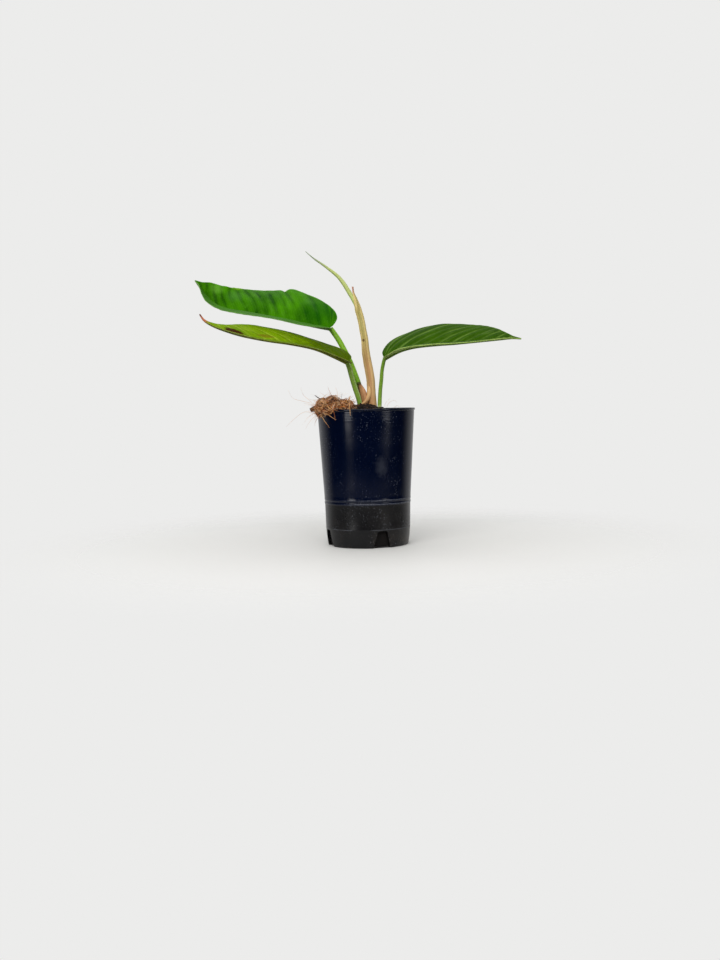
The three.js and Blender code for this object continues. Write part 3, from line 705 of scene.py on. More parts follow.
def creeping_strand(chance, length, wild, free_from):
    """Points of a strand that follows the mat, and leaves it after a share of its length."""
    centre, radii = chance.choices(LUMPS, weights=LUMP_WEIGHTS)[0]
    out = any_direction(chance)
    out.z = abs(out.z) - 0.35
    point = on_mat(centre + Vector((out.x * radii.x, out.y * radii.y, out.z * radii.z)), 0.02)
    heading = (Vector((chance.choice([-1, 1]), 0.25, 0)) + 0.8 * any_direction(chance)).normalized()
    points = [point]
    lift = chance.uniform(-0.06, 0.22)
    for i in range(FIBRE_STEPS):
        heading = (heading + wild * any_direction(chance)).normalized()
        point = point + heading * length / FIBRE_STEPS
        if i / FIBRE_STEPS < free_from:
            point = on_mat(point, lift)
        else:
            heading += 0.12 * (point - centre).normalized()
            heading = (heading + Vector((0, 0, -0.05))).normalized()
            point = clear_of_wall(point)
        points.append(point)
    return points


def add_strand(curve, points, radius, tone, tip):
    """Adds one strand to a bevelled curve, thinner at both ends."""
    spline = curve.splines.new("POLY")
    spline.points.add(len(points) - 1)
    spline.material_index = tone
    for i, (dot, point) in enumerate(zip(spline.points, points)):
        share = i / (len(points) - 1)
        dot.co = (*(point * MM), 1)
        dot.radius = radius * MM * (1 - (1 - tip) * abs(2 * share - 0.8) / 1.2)


def add_creeping(curve, count, lengths, wild, free_from, radii, tones, tip):
    """Adds strands drawn at random: lengths and radii are ranges, free_from and tones are choices."""
    for _ in range(count):
        length = chance.uniform(*lengths)
        leaves_at = free_from[0] if len(free_from) == 1 else chance.choice(free_from)
        points = creeping_strand(chance, length, wild, leaves_at)
        add_strand(curve, points, chance.uniform(*radii), chance.choice(tones), tip)


def add_drawn(curve, points, radius, tone):
    """Adds a strand that runs smoothly through given points."""
    line = Line(points, unit=1)
    steps = 12
    add_strand(curve, [line.at(i / steps)[0] for i in range(steps + 1)], radius, tone, tip=0.3)


def strand_curve(name):
    curve = bpy.data.curves.new(name, "CURVE")
    curve.dimensions = "3D"
    curve.bevel_depth = 1
    curve.bevel_resolution = 0
    curve.use_fill_caps = True
    for tone in FIBRE_TONES:
        curve.materials.append(tone)
    return curve


def strands_mesh(curve):
    """The curve's strands as a bmesh, with the ends closed."""
    holder = bpy.data.objects.new(curve.name, curve)
    scene.collection.objects.link(holder)
    shown = holder.evaluated_get(bpy.context.evaluated_depsgraph_get())
    mesh = bpy.data.meshes.new_from_object(shown)
    bpy.data.objects.remove(holder)
    bm = bmesh.new()
    bm.from_mesh(mesh)
    bpy.data.meshes.remove(mesh)
    bmesh.ops.remove_doubles(bm, verts=bm.verts, dist=1e-7)
    return bm


def fibre_look(name, dark, light):
    recipe = Recipe(name, roughness=0.75, specular=0.3)
    where = recipe.place()
    colour = recipe.mix(recipe.between(recipe.noise(where, 300, 4, 0.6), 0.35, 0.68), dark, light)
    return recipe.done(colour, normal=recipe.bump(recipe.noise(where, 1500, 3, 0.6), 0.15 * MM, 0.6))


DARK, RED_BROWN, TAN, PALE = range(4)
FIBRE_TONES = [
    fibre_look("fibre_dark", (34, 18, 10), (84, 50, 30)),
    fibre_look("fibre_red_brown", (132, 70, 30), (200, 124, 64)),
    fibre_look("fibre_tan", (188, 128, 74), (236, 188, 130)),
    fibre_look("fibre_pale", (210, 160, 124), (240, 208, 176)),
]
# Painted shade: mostly dark tones, for the strands that lie close on the core.
SHADE_DARK_TONES = [DARK, DARK, DARK, RED_BROWN, RED_BROWN, TAN]
MOSTLY_PALE = [RED_BROWN, TAN, TAN, PALE, PALE]
ALL_TONES = [DARK, RED_BROWN, TAN, TAN, PALE]

chance = random.Random(21)
curve = strand_curve("fibre_strands")
add_creeping(curve, 460, (5, 14), 0.62, [1.1], (0.13, 0.3), SHADE_DARK_TONES, tip=0.45)
add_creeping(curve, 420, (3, 9), 0.6, [0.55], (0.09, 0.17), MOSTLY_PALE, tip=0.2)
add_creeping(curve, 150, (5, 12), 0.4, [0.7, 1.1], (0.28, 0.46), ALL_TONES, tip=0.3)
add_creeping(curve, 110, (6, 13), 0.3, [0.3], (0.1, 0.22), [RED_BROWN, TAN, PALE], tip=0.2)

for points, radius, tone in (
    ([(-31, -15, 118.5), (-35, -15.3, 120.5), (-38, -15.6, 122), (-41.5, -16, 124.6)], 0.62, DARK),
    ([(-14, -11, 115), (-13.4, -11, 118), (-13.6, -11.2, 121), (-12.4, -11, 123.4)], 0.75, TAN),
    ([(-15.2, -12, 116), (-16, -12.5, 119), (-15.4, -12.8, 122)], 0.5, RED_BROWN),
    (
        [
            (-14, -18, 115.5), (-13.4, -28, 117.6), (-13.1, -38, 115.2), (-12.8, -42, 111),
            (-12.7, -41.8, 107.5),
        ],
        0.38, TAN,
    ),
    ([(-28, -27, 113), (-26.8, -31, 113), (-25.6, -33.5, 110), (-24.8, -34, 104)], 0.26, RED_BROWN),
    ([(-38, -17, 110), (-36.2, -21, 107.5), (-33.5, -25.6, 103.5), (-29.5, -28.6, 98)], 0.26, TAN),
    ([(-33.8, -24.6, 111.5), (-30.8, -28.4, 109), (-27.5, -31.2, 106.5), (-24, -33.4, 104.4)], 0.24, TAN),
    ([(-26, -32, 114.3), (-22, -34.6, 114.6), (-18, -36.4, 114.8), (-13, -38, 113.8)], 0.36, RED_BROWN),
    ([(-20, -15, 119), (-19.6, -15.4, 123), (-19.1, -15.6, 126.3)], 0.14, DARK),
):
    add_drawn(curve, points, radius, tone)
join_in(mat_bm, strands_mesh(curve))
add_piece("fibre_mat_strands", mat_bm, FIBRE_TONES, ["fibre_mat"], "fibre", crease=70)

# %% Fine root hairs
hairs = strand_curve("root_hairs")
for points in (
    [(-42, -16, 117), (-46.5, -16, 121), (-51, -16.5, 125.6), (-52.6, -17, 131)],
    [(-41, -16, 117.5), (-50, -17, 119.6), (-59.5, -18, 122.8), (-63, -18.5, 129.8)],
    [(-40, -17, 112), (-51, -18, 110.8), (-58, -19, 106), (-65, -20, 99.5)],
    [(-39.5, -18, 109), (-44, -19, 105.3), (-49.7, -20, 97.5)],
    [(-27, -16, 121.5), (-28.9, -16, 124.2), (-31.3, -16.5, 127.7)],
    [(-24, -15, 121), (-23, -15.2, 126), (-24.5, -15.5, 131)],
    [(17, -6, 113), (19.5, -7, 117.4), (23.5, -7.5, 119), (26, -8, 117)],
    [(15.5, -3, 113.5), (16.5, -4, 117), (20.5, -5, 121)],
    [(22, -12, 111.5), (25, -14, 114.6), (28.5, -15, 113.6)],
):
    add_drawn(hairs, points, 0.11, PALE)
add_creeping(hairs, 60, (9, 20), 0.12, [0.15], (0.05, 0.09), [TAN, PALE, PALE], tip=0.3)
add_piece("root_hairs", strands_mesh(hairs), FIBRE_TONES, [], "fibre", crease=70)

# %% [markdown]
# ## The stalks
#
# A stalk of this plant is a nearly even round tube with fine cross wrinkles and a shallow groove.
# The wrinkles are in the mesh, a few hundredths of a millimetre high, and again in the bump for the
# smallest ones. The colour runs from pale at the foot to green, with streaks along the stalk that
# follow the UV map.


# %% Stalk material
def stalk_look(name, foot, low, high, streak, streak_strength, torn=None):
    """Green skin of a stalk: foot, lower and upper colour, and a paler streak on its right side. Torn
    is where a dark scar lies."""
    recipe = Recipe(name, roughness=0.42, specular=0.25)
    lengthwise, across = recipe.parts(recipe.place("UV"))[:2]
    fibres = recipe.streaks(3, 14, 1.6, 4, 0.6)
    wrinkles = recipe.streaks(60, 3, 1.5, 3, 0.55)
    colour = recipe.coats(
        recipe.shades(lengthwise, 0.16, 0.5, low, high),
        (recipe.between(lengthwise, 0.24, 0.15), foot, 1),
        (recipe.between(fibres, 0.5, 0.75), streak, 0.35),
        (recipe.between(recipe.apart(across, 0.66), 0.09, 0.02), streak, streak_strength),
        (recipe.between(wrinkles, 0.55, 0.4), (40, 70, 12), 0.25),
    )
    if torn:
        scar = recipe.ball(Vector(torn) * MM, (2.4, 4, 2.2), soft=0.4)
        colour = recipe.coats(colour, (scar, (66, 50, 16), 0.85))
    rough = recipe.plus(0.34, recipe.times(wrinkles, 0.2))
    normal = recipe.bump(wrinkles, 0.12 * MM, 0.5, under=recipe.bump(fibres, 0.2 * MM, 0.35))
    return recipe.done(colour, rough, normal)


# %% Make the stalks
STALKS = {
    "upper_left": SimpleNamespace(
        line=Line([
            (-0.6, 0.6, 105), (-1.8, 1.0, 116.5), (-3.4, 1.3, 124.8), (-5.7, 2.0, 134),
            (-8.6, 3.0, 142.3), (-12.1, 4.5, 151.5), (-16.5, 5.5, 160.8), (-21.3, 6.7, 170),
            (-26.9, 8, 178.4), (-27.9, 8.2, 179.7),
        ]),
        radii=[2.1, 2.1, 2.15, 2.2, 2.25, 2.25, 2.15],
        look=stalk_look(
            "green_stalk", (150, 168, 92), (86, 134, 8), (120, 172, 22), (168, 202, 88), 0.25,
            torn=(-5.2, 1, 133.4),
        ),
        slot="green_stalk",
    ),
    "lower_left": SimpleNamespace(
        line=Line([
            (-4.2, -2.6, 104), (-4.7, -3.0, 115), (-5.9, -3.5, 121.6), (-8.5, -5.0, 129.8),
            (-11.1, -7.5, 138.9), (-12.7, -9.5, 145.4), (-14, -11.7, 149.4), (-14.5, -12.4, 150.7),
        ]),
        radii=[1.9, 1.95, 2.1, 2.1, 2.0, 2.0, 1.9],
        look=stalk_look(
            "pale_stalk", (200, 206, 152), (122, 158, 52), (126, 160, 58), (196, 214, 152), 0.6,
        ),
        slot="pale_stalk",
    ),
    "right": SimpleNamespace(
        line=Line([
            (11.3, 1.4, 105.5), (11.5, 1.5, 114.6), (11.8, 1.5, 119.6), (12.4, 1.5, 127.8),
            (13.4, 1.2, 136.1), (14.2, 0.5, 144.3), (16, -0.7, 152.3), (16.5, -0.9, 153.6),
        ]),
        radii=[1.85, 1.75, 1.65, 1.6, 1.55, 1.5, 1.5],
        look=stalk_look(
            "right_stalk", (196, 204, 140), (132, 168, 62), (112, 152, 36), (172, 200, 108), 0.4,
        ),
        slot="green_stalk",
    ),
}


def stalk_tube(stalk):
    """A stalk with its cross wrinkles, and a shallow groove in front."""
    def radius(u, angle):
        wrinkle = noise.noise(Vector((u * stalk.line.length / MM * 1.6, math.cos(angle), math.sin(angle))))
        groove = 0.1 * hump(angle - 0.4, 0.35)
        return (along(stalk.radii, u) + 0.07 * wrinkle - groove) * MM

    return tube(stalk.line, radius, rows=220, columns=28)


for name, stalk in STALKS.items():
    add_piece(f"stalk_{name}", stalk_tube(stalk), [stalk.look], [f"petiole_{name}"], stalk.slot)

# %% [markdown]
# ## The sheath, the rolled leaf and the brown scale
#
# The tall sheath is one dry leaf-like scale, wrapped round the next leaf with its edges overlapping.
# So it is a sheet bent round a line, not a tube: near its top the sheet covers less and less of the
# circle, and the rolled leaf comes out of the gap on the left. A Solidify step gives it thickness.


# %% Wrapped sheets
def wrapped(line, radii, middle, half_angle, relief, thickness, rows, columns):
    """A sheet round part of a line. middle and half_angle are functions of the share along it."""
    def shape(u, v):
        turn = (2 * v - 1) * half_angle(u)
        overlap = 0.35 * max(0.0, v - 0.5) * 2
        return around(line, u, middle(u) + turn, (along(radii, u) + overlap + relief(u, v)) * MM)

    bm = sheet_over(shape, rows, columns)
    bmesh.ops.recalc_face_normals(bm, faces=bm.faces)
    bmesh.ops.solidify(bm, geom=bm.faces[:], thickness=thickness * MM)
    bmesh.ops.recalc_face_normals(bm, faces=bm.faces)
    return bm


# %% Tall dry sheath
INSIDE_SHEATH = [
    (5.1, 0, 125.5), (4.7, 0.2, 136.2), (3.5, 0.4, 144.5), (2.1, 0.6, 152.8), (1, 0.8, 161),
    (0.5, 1, 169.3), (-0.8, 1.3, 177.5),
]
SHEATH_LINE = Line([
    (5.9, 0, 106), (5.8, 0, 114.7), *INSIDE_SHEATH, (-2.2, 1.6, 185.8), (-4.3, 1.9, 194),
    (-7.2, 2.2, 202.3), (-9.4, 2.5, 208.1), (-10.1, 2.8, 213),
])


def sheath_relief(u, v):
    """Two keels that run up the sheath, and the ribs and wrinkles between them."""
    keels = 0.28 * (hump(v - 0.27, 0.03) + hump(v - 0.73, 0.03))
    ribs = 0.05 * math.sin(v * 90) + 0.1 * noise.noise(Vector((u * 22, v * 9, 0.3)))
    return keels * min(1, u * 8) + ribs


def sheath_half_angle(u):
    """Wrapped past a full turn below, and open towards the top."""
    opening = min(max((u - 0.8) / 0.2, 0), 1)
    return math.radians(196 - 140 * opening ** 0.8 - 20 * opening)


sheath_bm = wrapped(
    SHEATH_LINE, [3.15, 3.1, 3.05, 3.0, 3.0, 2.95, 2.75, 2.5, 2.4, 2.4, 2.3, 1.9, 0.9],
    lambda u: math.radians(70 + 20 * u), sheath_half_angle, sheath_relief,
    thickness=0.3, rows=240, columns=72,
)
FOOT_FOLD = Line([
    (4.8, -0.4, 141), (4.2, -1.2, 134), (3.4, -1.9, 128), (2.6, -2.6, 122.8), (0.6, -3.3, 119.2),
    (-2.2, -3.9, 117.2), (-4.8, -4.2, 116.2),
])
FOOT_RADII = [0.3, 0.9, 1.4, 2.0, 2.1, 1.4, 0.4]
join_in(sheath_bm, tube(FOOT_FOLD, lambda u, angle: along(FOOT_RADII, u) * MM, rows=60, columns=20))

recipe = Recipe("dry_sheath", roughness=0.55, specular=0.35)
across = recipe.parts(recipe.place("UV"))[1]
height = recipe.parts(recipe.place())[2]
streaks = recipe.streaks(2.2, 34, 1.5, 4, 0.65)
blotch = recipe.streaks(9, 5, 1.2, 3, 0.6)
high = recipe.between(height, 140 * MM, 182 * MM)
from_keel = recipe.apart(recipe.apart(across, 0.5), 0.24)
keel_colour = recipe.mix(high, (176, 128, 80), (156, 146, 74))
nick = recipe.ball(Vector((-0.6, -1.2, 169)) * MM, (1.3, 1.6, 1.5), ragged=0.3)
# Painted shade: a dark brown patch in the nook where the sheath's foot meets the mix.
nook_shade = recipe.ball(Vector((2.6, -4.6, 115.4)) * MM, (1.4, 2.4, 2.0))
colour = recipe.coats(
    recipe.mix(high, (210, 172, 116), (214, 192, 122)),
    (recipe.between(from_keel, 0.11, 0.03), keel_colour, 0.85),
    (recipe.between(streaks, 0.52, 0.75), (244, 226, 180), 0.5),
    (recipe.between(streaks, 0.46, 0.3), (142, 104, 58), 0.55),
    (recipe.between(blotch, 0.56, 0.74), (158, 112, 66), 0.35),
    (recipe.between(height, 205 * MM, 211 * MM), (178, 126, 100), 1),
    (nick, (84, 52, 22), 0.85),
    (recipe.between(height, 130 * MM, 118 * MM), (182, 132, 88), 0.6),
    (nook_shade, (58, 36, 20), 0.9),
)
dry_skin = recipe.done(colour, normal=recipe.bump(streaks, 0.25 * MM, 0.3))
add_piece("dry_sheath", sheath_bm, [dry_skin], ["sheath"], "dry_sheath", crease=60)

# %% Rolled new leaf
NEW_LEAF_LINE = Line([
    (5.8, 0, 112), *INSIDE_SHEATH, (-2.3, 1.6, 185.8), (-4.8, 1.8, 194), (-8.4, 1.8, 202.3),
    (-11.8, 1.6, 208.6), (-16.3, 0.5, 216), (-20.7, -1, 221.4), (-30.5, -4, 229.2), (-40, -6.5, 235.8),
    (-46.5, -8, 241.3),
])


def roll_radius(u, angle):
    """A rolled leaf is a spiral, so its radius steps once where the outer edge ends."""
    turned = (angle / math.tau + 0.5 - 1.3 * u) % 1
    radius = along([1.7, 1.85, 1.85, 1.8, 1.7, 1.45, 1.4, 1.5, 1.8, 1.6, 1.2, 0.72, 0.22], u)
    return radius * (0.9 + 0.16 * turned) * MM


roll_bm = tube(NEW_LEAF_LINE, roll_radius, rows=260, columns=40)

recipe = Recipe("rolled_leaf", roughness=0.45, specular=0.4)
lengthwise = recipe.parts(recipe.place("UV"))[0]
streaks = recipe.streaks(3, 26, 1.5, 4, 0.6)
colour = recipe.shades(streaks, 0.35, 0.7, (176, 190, 96), (212, 222, 150))
colour = recipe.shades(lengthwise, 0.8, 0.97, colour, (150, 164, 132))
roll_skin = recipe.done(colour, normal=recipe.bump(streaks, 0.2 * MM, 0.2))
add_piece("rolled_leaf", roll_bm, [roll_skin], ["new_leaf"], "new_leaf", crease=50)

# %% Brown scale
SCALE_LINE = Line([
    (-1, -1, 113), (-1.3, -1, 116.5), (-2.4, -0.7, 121.5), (-3.4, -0.2, 127), (-4.9, 0.7, 133.4),
])


def scale_relief(u, v):
    """Ribs that end towards the tip, and edges that stand off."""
    return 0.16 * math.cos(v * 40) * (1 - u) + 0.5 * max(0, abs(2 * v - 1) - 0.8)


scale_bm = wrapped(
    SCALE_LINE, [2.0, 2.6, 3.0, 3.4, 3.5, 3.3, 2.6, 1.7, 0.5],
    lambda u: math.radians(28), lambda u: math.radians(118 - 30 * u), scale_relief,
    thickness=0.35, rows=90, columns=48,
)

recipe = Recipe("brown_scale", roughness=0.7, specular=0.3)
lengthwise = recipe.parts(recipe.place("UV"))[0]
streaks = recipe.streaks(2, 20, 1.6, 4, 0.65)
x, _, z = recipe.parts(recipe.place())
leaning = recipe.times(recipe.minus(z, 113 * MM), 0.19)
beside = recipe.plus(recipe.plus(x, leaning), 1 * MM)
colour = recipe.shades(streaks, 0.3, 0.7, (124, 82, 42), (172, 126, 80))
colour = recipe.shades(beside, 0.6 * MM, 2.4 * MM, colour, (190, 142, 102))
colour = recipe.shades(beside, 0.1 * MM, -1.8 * MM, colour, (66, 42, 18))
colour = recipe.shades(lengthwise, 0.88, 0.98, colour, (70, 48, 28))
scale_skin = recipe.done(colour, normal=recipe.bump(streaks, 0.3 * MM, 0.7))
add_piece("brown_scale", scale_bm, [scale_skin], ["old_sheath"], "brown_scale", crease=60)

# %% [markdown]
# ## The blades
#
# A blade is pleated: its surface rises and falls from one side vein to the next, with a sharp furrow
# at each vein and a round crest between. Every point of the flat leaf has a number that says where
# the side vein through it starts, and so which pleat it is on. The mesh keeps that number for the
# material. The flat leaf is laid over its arched midrib, and its two halves are folded up or down
# along it, just as the CAD solid is. Underneath runs the midrib itself, a tapering rod.

# %% Shape of a blade
UP = Vector((0, 0, 1))
NEAR_HALF = SimpleNamespace(curl=0.3, wave=0.35)
FIRST_ROW = 0.03
FIRST_VEIN = -0.3
BLADE_THICKNESS = 0.5


def leaf_from(**values):
    leaf = SimpleNamespace(**values)
    leaf.rib = Line(leaf.midrib)
    leaf.length = leaf.rib.length / MM
    leaf.margin = Line([(x, y, 0) for x, y in leaf.outline], unit=1)
    return leaf


def on_leaf(leaf, x, y):
    """Where a point of the flat leaf lies: x mm along the midrib, y mm across, far half positive."""
    share = min(max(x / leaf.length, 0), 1)
    point, ahead = leaf.rib.at(share)
    point = point + ahead * (x - share * leaf.length) * MM
    side = UP.cross(ahead).normalized()
    side = side if side.y > 0 else -side
    lift = side.cross(ahead)
    lift = lift if lift.z > 0 else -lift
    fold = math.radians(along(leaf.fold_far if y > 0 else leaf.fold_near, share))
    curl = leaf.curl if y > 0 else NEAR_HALF.curl * leaf.curl
    angle = fold + curl / 2 * (1 - abs(y) / leaf.half_width)
    return point + (side * y * math.cos(angle) + lift * abs(y) * math.sin(angle)) * MM


def leaf_normal(leaf, x, y):
    """The direction straight out of the upper side of the smooth leaf."""
    step = 0.3
    ahead = on_leaf(leaf, x + step, y) - on_leaf(leaf, x - step, y)
    across = on_leaf(leaf, x, y + step) - on_leaf(leaf, x, y - step)
    normal = ahead.cross(across).normalized()
    return normal if normal.z > 0 else -normal


def row_share(row):
    """How far along the leaf a row lies. The first row is a little past the stalk's end."""
    return FIRST_ROW + (1 - FIRST_ROW) * row


def flat_point(leaf, row, across):
    """A grid point on the flat leaf: row from 0 at the stalk to 1 at the tip, across from -1 to 1."""
    u = row_share(row)
    start = leaf.length * u ** leaf.sweep
    end = leaf.margin.at(u)[0]
    s = abs(across)
    x = start + (leaf.length * end.x - start) * (0.7 * s * (1 - s) + s * s)
    return x, math.copysign(leaf.half_width * abs(end.y) * (1.1 * s * (1 - s) + s * s), across)


def vein_number(leaf, x, y):
    """Where the side vein through a point starts: 0 at the stalk, 1 at the tip, less if it turns back."""
    side = abs(y) * (0.65 + 0.5 * abs(y) / leaf.half_width)
    low, high = FIRST_VEIN, 1.0
    # Each turn halves the range in which the vein starts
    for _ in range(13):
        start = (low + high) / 2
        slant = along(leaf.slants, (start - FIRST_VEIN) / (1 - FIRST_VEIN))
        if leaf.length * max(start, 0) + slant * side < x:
            low = start
        else:
            high = start
    return (low + high) / 2


def pleated(leaf, row, across):
    """A point of the finished surface, with its pleats, waves and creases."""
    x, y = flat_point(leaf, row, across)
    reach = leaf.half_width * abs(leaf.margin.at(row_share(row))[0].y)
    s = abs(across)
    phase = (vein_number(leaf, x, y) * leaf.pleats) % 1
    crest = 2 * math.sin(math.pi * phase) ** 0.9 - 1
    fine = math.cos(math.tau * phase * 4)
    full = min(1, s / 0.25) * (1 - 0.85 * s * s) * min(1, reach / 12) * min(1, row / 0.12)
    height = (crest * leaf.pleat_depth + 0.04 * fine) * full
    ripple = math.sin(math.tau * (x / (leaf.wave_length * leaf.length) + leaf.wave_phase))
    height += leaf.wave * (1 if across > 0 else NEAR_HALF.wave) * s * s * ripple * min(1, reach / 12)
    height -= 0.3 * hump(y, 0.9) * (1 - min(1, row / leaf.rib_end))
    height += sum(crease_height(crease, x, y) for crease in leaf.creases)
    return on_leaf(leaf, x, y) + leaf_normal(leaf, x, y) * height * MM


def crease_height(crease, x, y):
    """A soft fold that starts at one point of the flat leaf and runs to another."""
    start, end = Vector(crease.start), Vector(crease.end)
    run = end - start
    here = Vector((x, y)) - start
    share = min(max(here.dot(run) / run.length_squared, 0), 1)
    beside = (run.x * here.y - run.y * here.x) / run.length
    fade = math.sin(math.pi * max(share, 0.02) * 0.5)
    return crease.height * fade * hump(beside, crease.width)


def make_blade(name, leaf, rows_per_pleat, half_columns, skins, slot):
    """The pleated sheet and the rod under it. The skins are for the upper side, underside and rod."""
    def shape(u, v):
        return pleated(leaf, u, 2 * v - 1)

    def vein(u, v):
        return vein_number(leaf, *flat_point(leaf, u, 2 * v - 1))

    bm = sheet_over(shape, rows_per_pleat * leaf.pleats, 2 * half_columns, vein)
    bm.normal_update()
    if sum(face.normal.z for face in bm.faces) < 0:
        bmesh.ops.reverse_faces(bm, faces=bm.faces)
    bmesh.ops.translate(bm, verts=bm.verts, vec=UP * (BLADE_THICKNESS / 2 * MM))
    upper = len(bm.faces)
    bmesh.ops.solidify(bm, geom=bm.faces[:], thickness=BLADE_THICKNESS * MM)
    for i, face in enumerate(bm.faces):
        face.material_index = 0 if i < upper else 1

    lowered = []
    for i, point in enumerate(leaf.midrib):
        drop = BLADE_THICKNESS / 2 + 0.4 * along(leaf.rod, i / (len(leaf.midrib) - 1))
        lowered.append(Vector(point) - UP * drop)
    rod = tube(Line(lowered), lambda u, angle: along(leaf.rod, u) * MM, rows=120, columns=18)
    join_in(bm, rod, material=2)
    add_piece(f"leaf_{name}", bm, skins, [f"blade_{name}"], slot, crease=60)


# %% The three leaves
UPPER_LEFT = leaf_from(
    midrib=[
        (-27.6, 8.2, 179.7), (-39.2, 10, 182), (-53.4, 13, 185.2), (-67.7, 16, 188.5), (-85.6, 20.5, 192.7),
        (-99.3, 24, 195.8), (-113, 27, 198.7), (-123.5, 29.2, 202.7), (-131.3, 31, 208.6),
        (-137.3, 32.2, 215.9), (-142.9, 33, 224.2),
    ],
    outline=[
        (0, 0), (-0.024, 0.28), (0.002, 0.5), (0.085, 0.79), (0.2, 0.99), (0.33, 1.07), (0.48, 1.04),
        (0.62, 0.89), (0.71, 0.765), (0.84, 0.58), (0.93, 0.35), (0.97, 0.12), (1, 0.012),
    ],
    half_width=33, fold_far=[51, 48, 44, 42, 53], fold_near=[-5, -2.5, -3, -5, 14], curl=0.7,
    pleats=14, sweep=1.4, slants=[-1.2, 0.15, 0.62, 0.67, 0.85, 1.6, 3.0], rib_end=0.55,
    pleat_depth=0.7, wave=1.3, wave_length=0.42, wave_phase=0.46,
    rod=[1.3, 0.9, 0.7, 0.6, 0.45, 0.3],
    creases=[
        SimpleNamespace(start=(8, 4), end=(44, 34), height=1.0, width=3.2),
        SimpleNamespace(start=(41, 20), end=(52.5, 34), height=-1.8, width=1.5),
    ],
)
LOWER_LEFT = leaf_from(
    midrib=[
        (-13.9, -12, 150.6), (-24.2, -14.5, 155.6), (-40.2, -18.5, 162.2), (-60, -23.5, 166.4),
        (-75.7, -27.5, 168.6), (-86.6, -30.5, 170.5), (-98.2, -33.5, 173), (-109.9, -36.5, 176.6),
        (-120.3, -38.5, 180.9), (-126.4, -39.5, 185), (-129.5, -40, 189.8),
    ],
    outline=[
        (0, 0), (-0.014, 0.25), (-0.012, 0.46), (0.035, 0.68), (0.14, 0.84), (0.28, 0.92), (0.44, 1.02),
        (0.58, 1.16), (0.7, 0.9), (0.8, 0.5), (0.89, 0.22), (0.95, 0.09), (1, 0.03),
    ],
    half_width=20, fold_far=[37, 27, 35, 31, 26], fold_near=[-3, -6, -4, -4, -2], curl=0.5,
    pleats=11, sweep=2.1, slants=[-1.0, 0.6, 1.2, 1.3, 1.35, 1.6, 2.0], rib_end=0.7,
    pleat_depth=0.4, wave=0.4, wave_length=0.36, wave_phase=0.3,
    rod=[1.5, 1.1, 0.85, 0.65, 0.5, 0.4], creases=[],
)
RIGHT = leaf_from(
    midrib=[
        (16.4, -1, 153.5), (28.2, -3, 159.2), (40, -6, 162.1), (59.3, -10.5, 163.6), (72.5, -13, 164),
        (83.2, -15.5, 164.6), (96.2, -18, 165.4), (109, -20.5, 166.2), (118.7, -22.5, 166.8),
        (126, -24, 166.3),
    ],
    outline=[
        (0, 0), (-0.002, 0.28), (0.034, 0.5), (0.08, 0.7), (0.145, 0.87), (0.27, 0.98), (0.42, 0.98),
        (0.56, 0.95), (0.7, 0.84), (0.81, 0.59), (0.89, 0.29), (0.95, 0.08), (1, 0.012),
    ],
    half_width=29, fold_far=[31, 35.5, 37, 33.5, 21], fold_near=[-1.5, -2, -2.5, -3, -3], curl=0.55,
    pleats=10, sweep=2.2, slants=[-1.0, 0.8, 1.5, 1.6, 1.7, 2.0, 2.3], rib_end=0.7,
    pleat_depth=0.55, wave=0.7, wave_length=0.5, wave_phase=0.4,
    rod=[1.2, 0.9, 0.75, 0.6, 0.45, 0.3], creases=[],
)
for name, leaf in (("upper left", UPPER_LEFT), ("lower left", LOWER_LEFT), ("right", RIGHT)):
    print(name, "leaf:", round(leaf.length), "mm long")

# %% [markdown]
# The skin of a blade takes its vein lines from the vein number that the mesh keeps, so they lie in
# the furrows. The second number of the UV map goes from one margin to the other. The upper side has
# a soft shine and the leaf's own greens, with painted shade in the furrows, painted sheen in streaks
# along the veins and on the near half, and pale vein lines that are partly painted highlight. The
# underside is paler and duller. Spots are balls in space, softened by noise, that colour whatever
# part of the leaf lies in them: dry spots on the old leaf, and painted highlights and one darker
# patch on the young one.


# %% Skins of the blades
def vein_maps(recipe, pleats):
    """How near each point is to a side vein, to a fine vein and to the margin."""
    def from_middle(value):
        """0 where a number is a half, and 1 where it is 0 or 1."""
        return recipe.times(recipe.apart(value, 0.5), 2)

    across = recipe.parts(recipe.place("UV"))[1]
    count = recipe.times(recipe.step("Attribute", {}, "Fac", attribute_name="vein"), pleats)
    near_vein = from_middle(recipe.math("FRACT", count))
    near_fine = from_middle(recipe.math("FRACT", recipe.times(count, 4)))
    along_veins = recipe.step("CombineXYZ", {0: count, 1: recipe.times(across, 3)})
    return SimpleNamespace(
        across=across,
        pleat=near_vein,
        streak=recipe.noise(along_veins, 1.3, 3, 0.6),
        vein=recipe.between(near_vein, 0.5, 1.0),
        fine=recipe.between(near_fine, 0.6, 0.95),
        edge=recipe.between(from_middle(across), 0.965, 0.995),
    )


def spotted(recipe, colour, leaf, spots):
    """A spot is a colour, a strength, and its ball's place on the leaf, radii, lean and softness."""
    for spot_colour, strength, (x_share, y_share), radii, lean, soft in spots:
        centre = on_leaf(leaf, x_share * leaf.length, y_share * leaf.half_width)
        ball = recipe.ball(centre, radii, lean, soft=soft)
        colour = recipe.coats(colour, (ball, spot_colour, strength))
    return colour


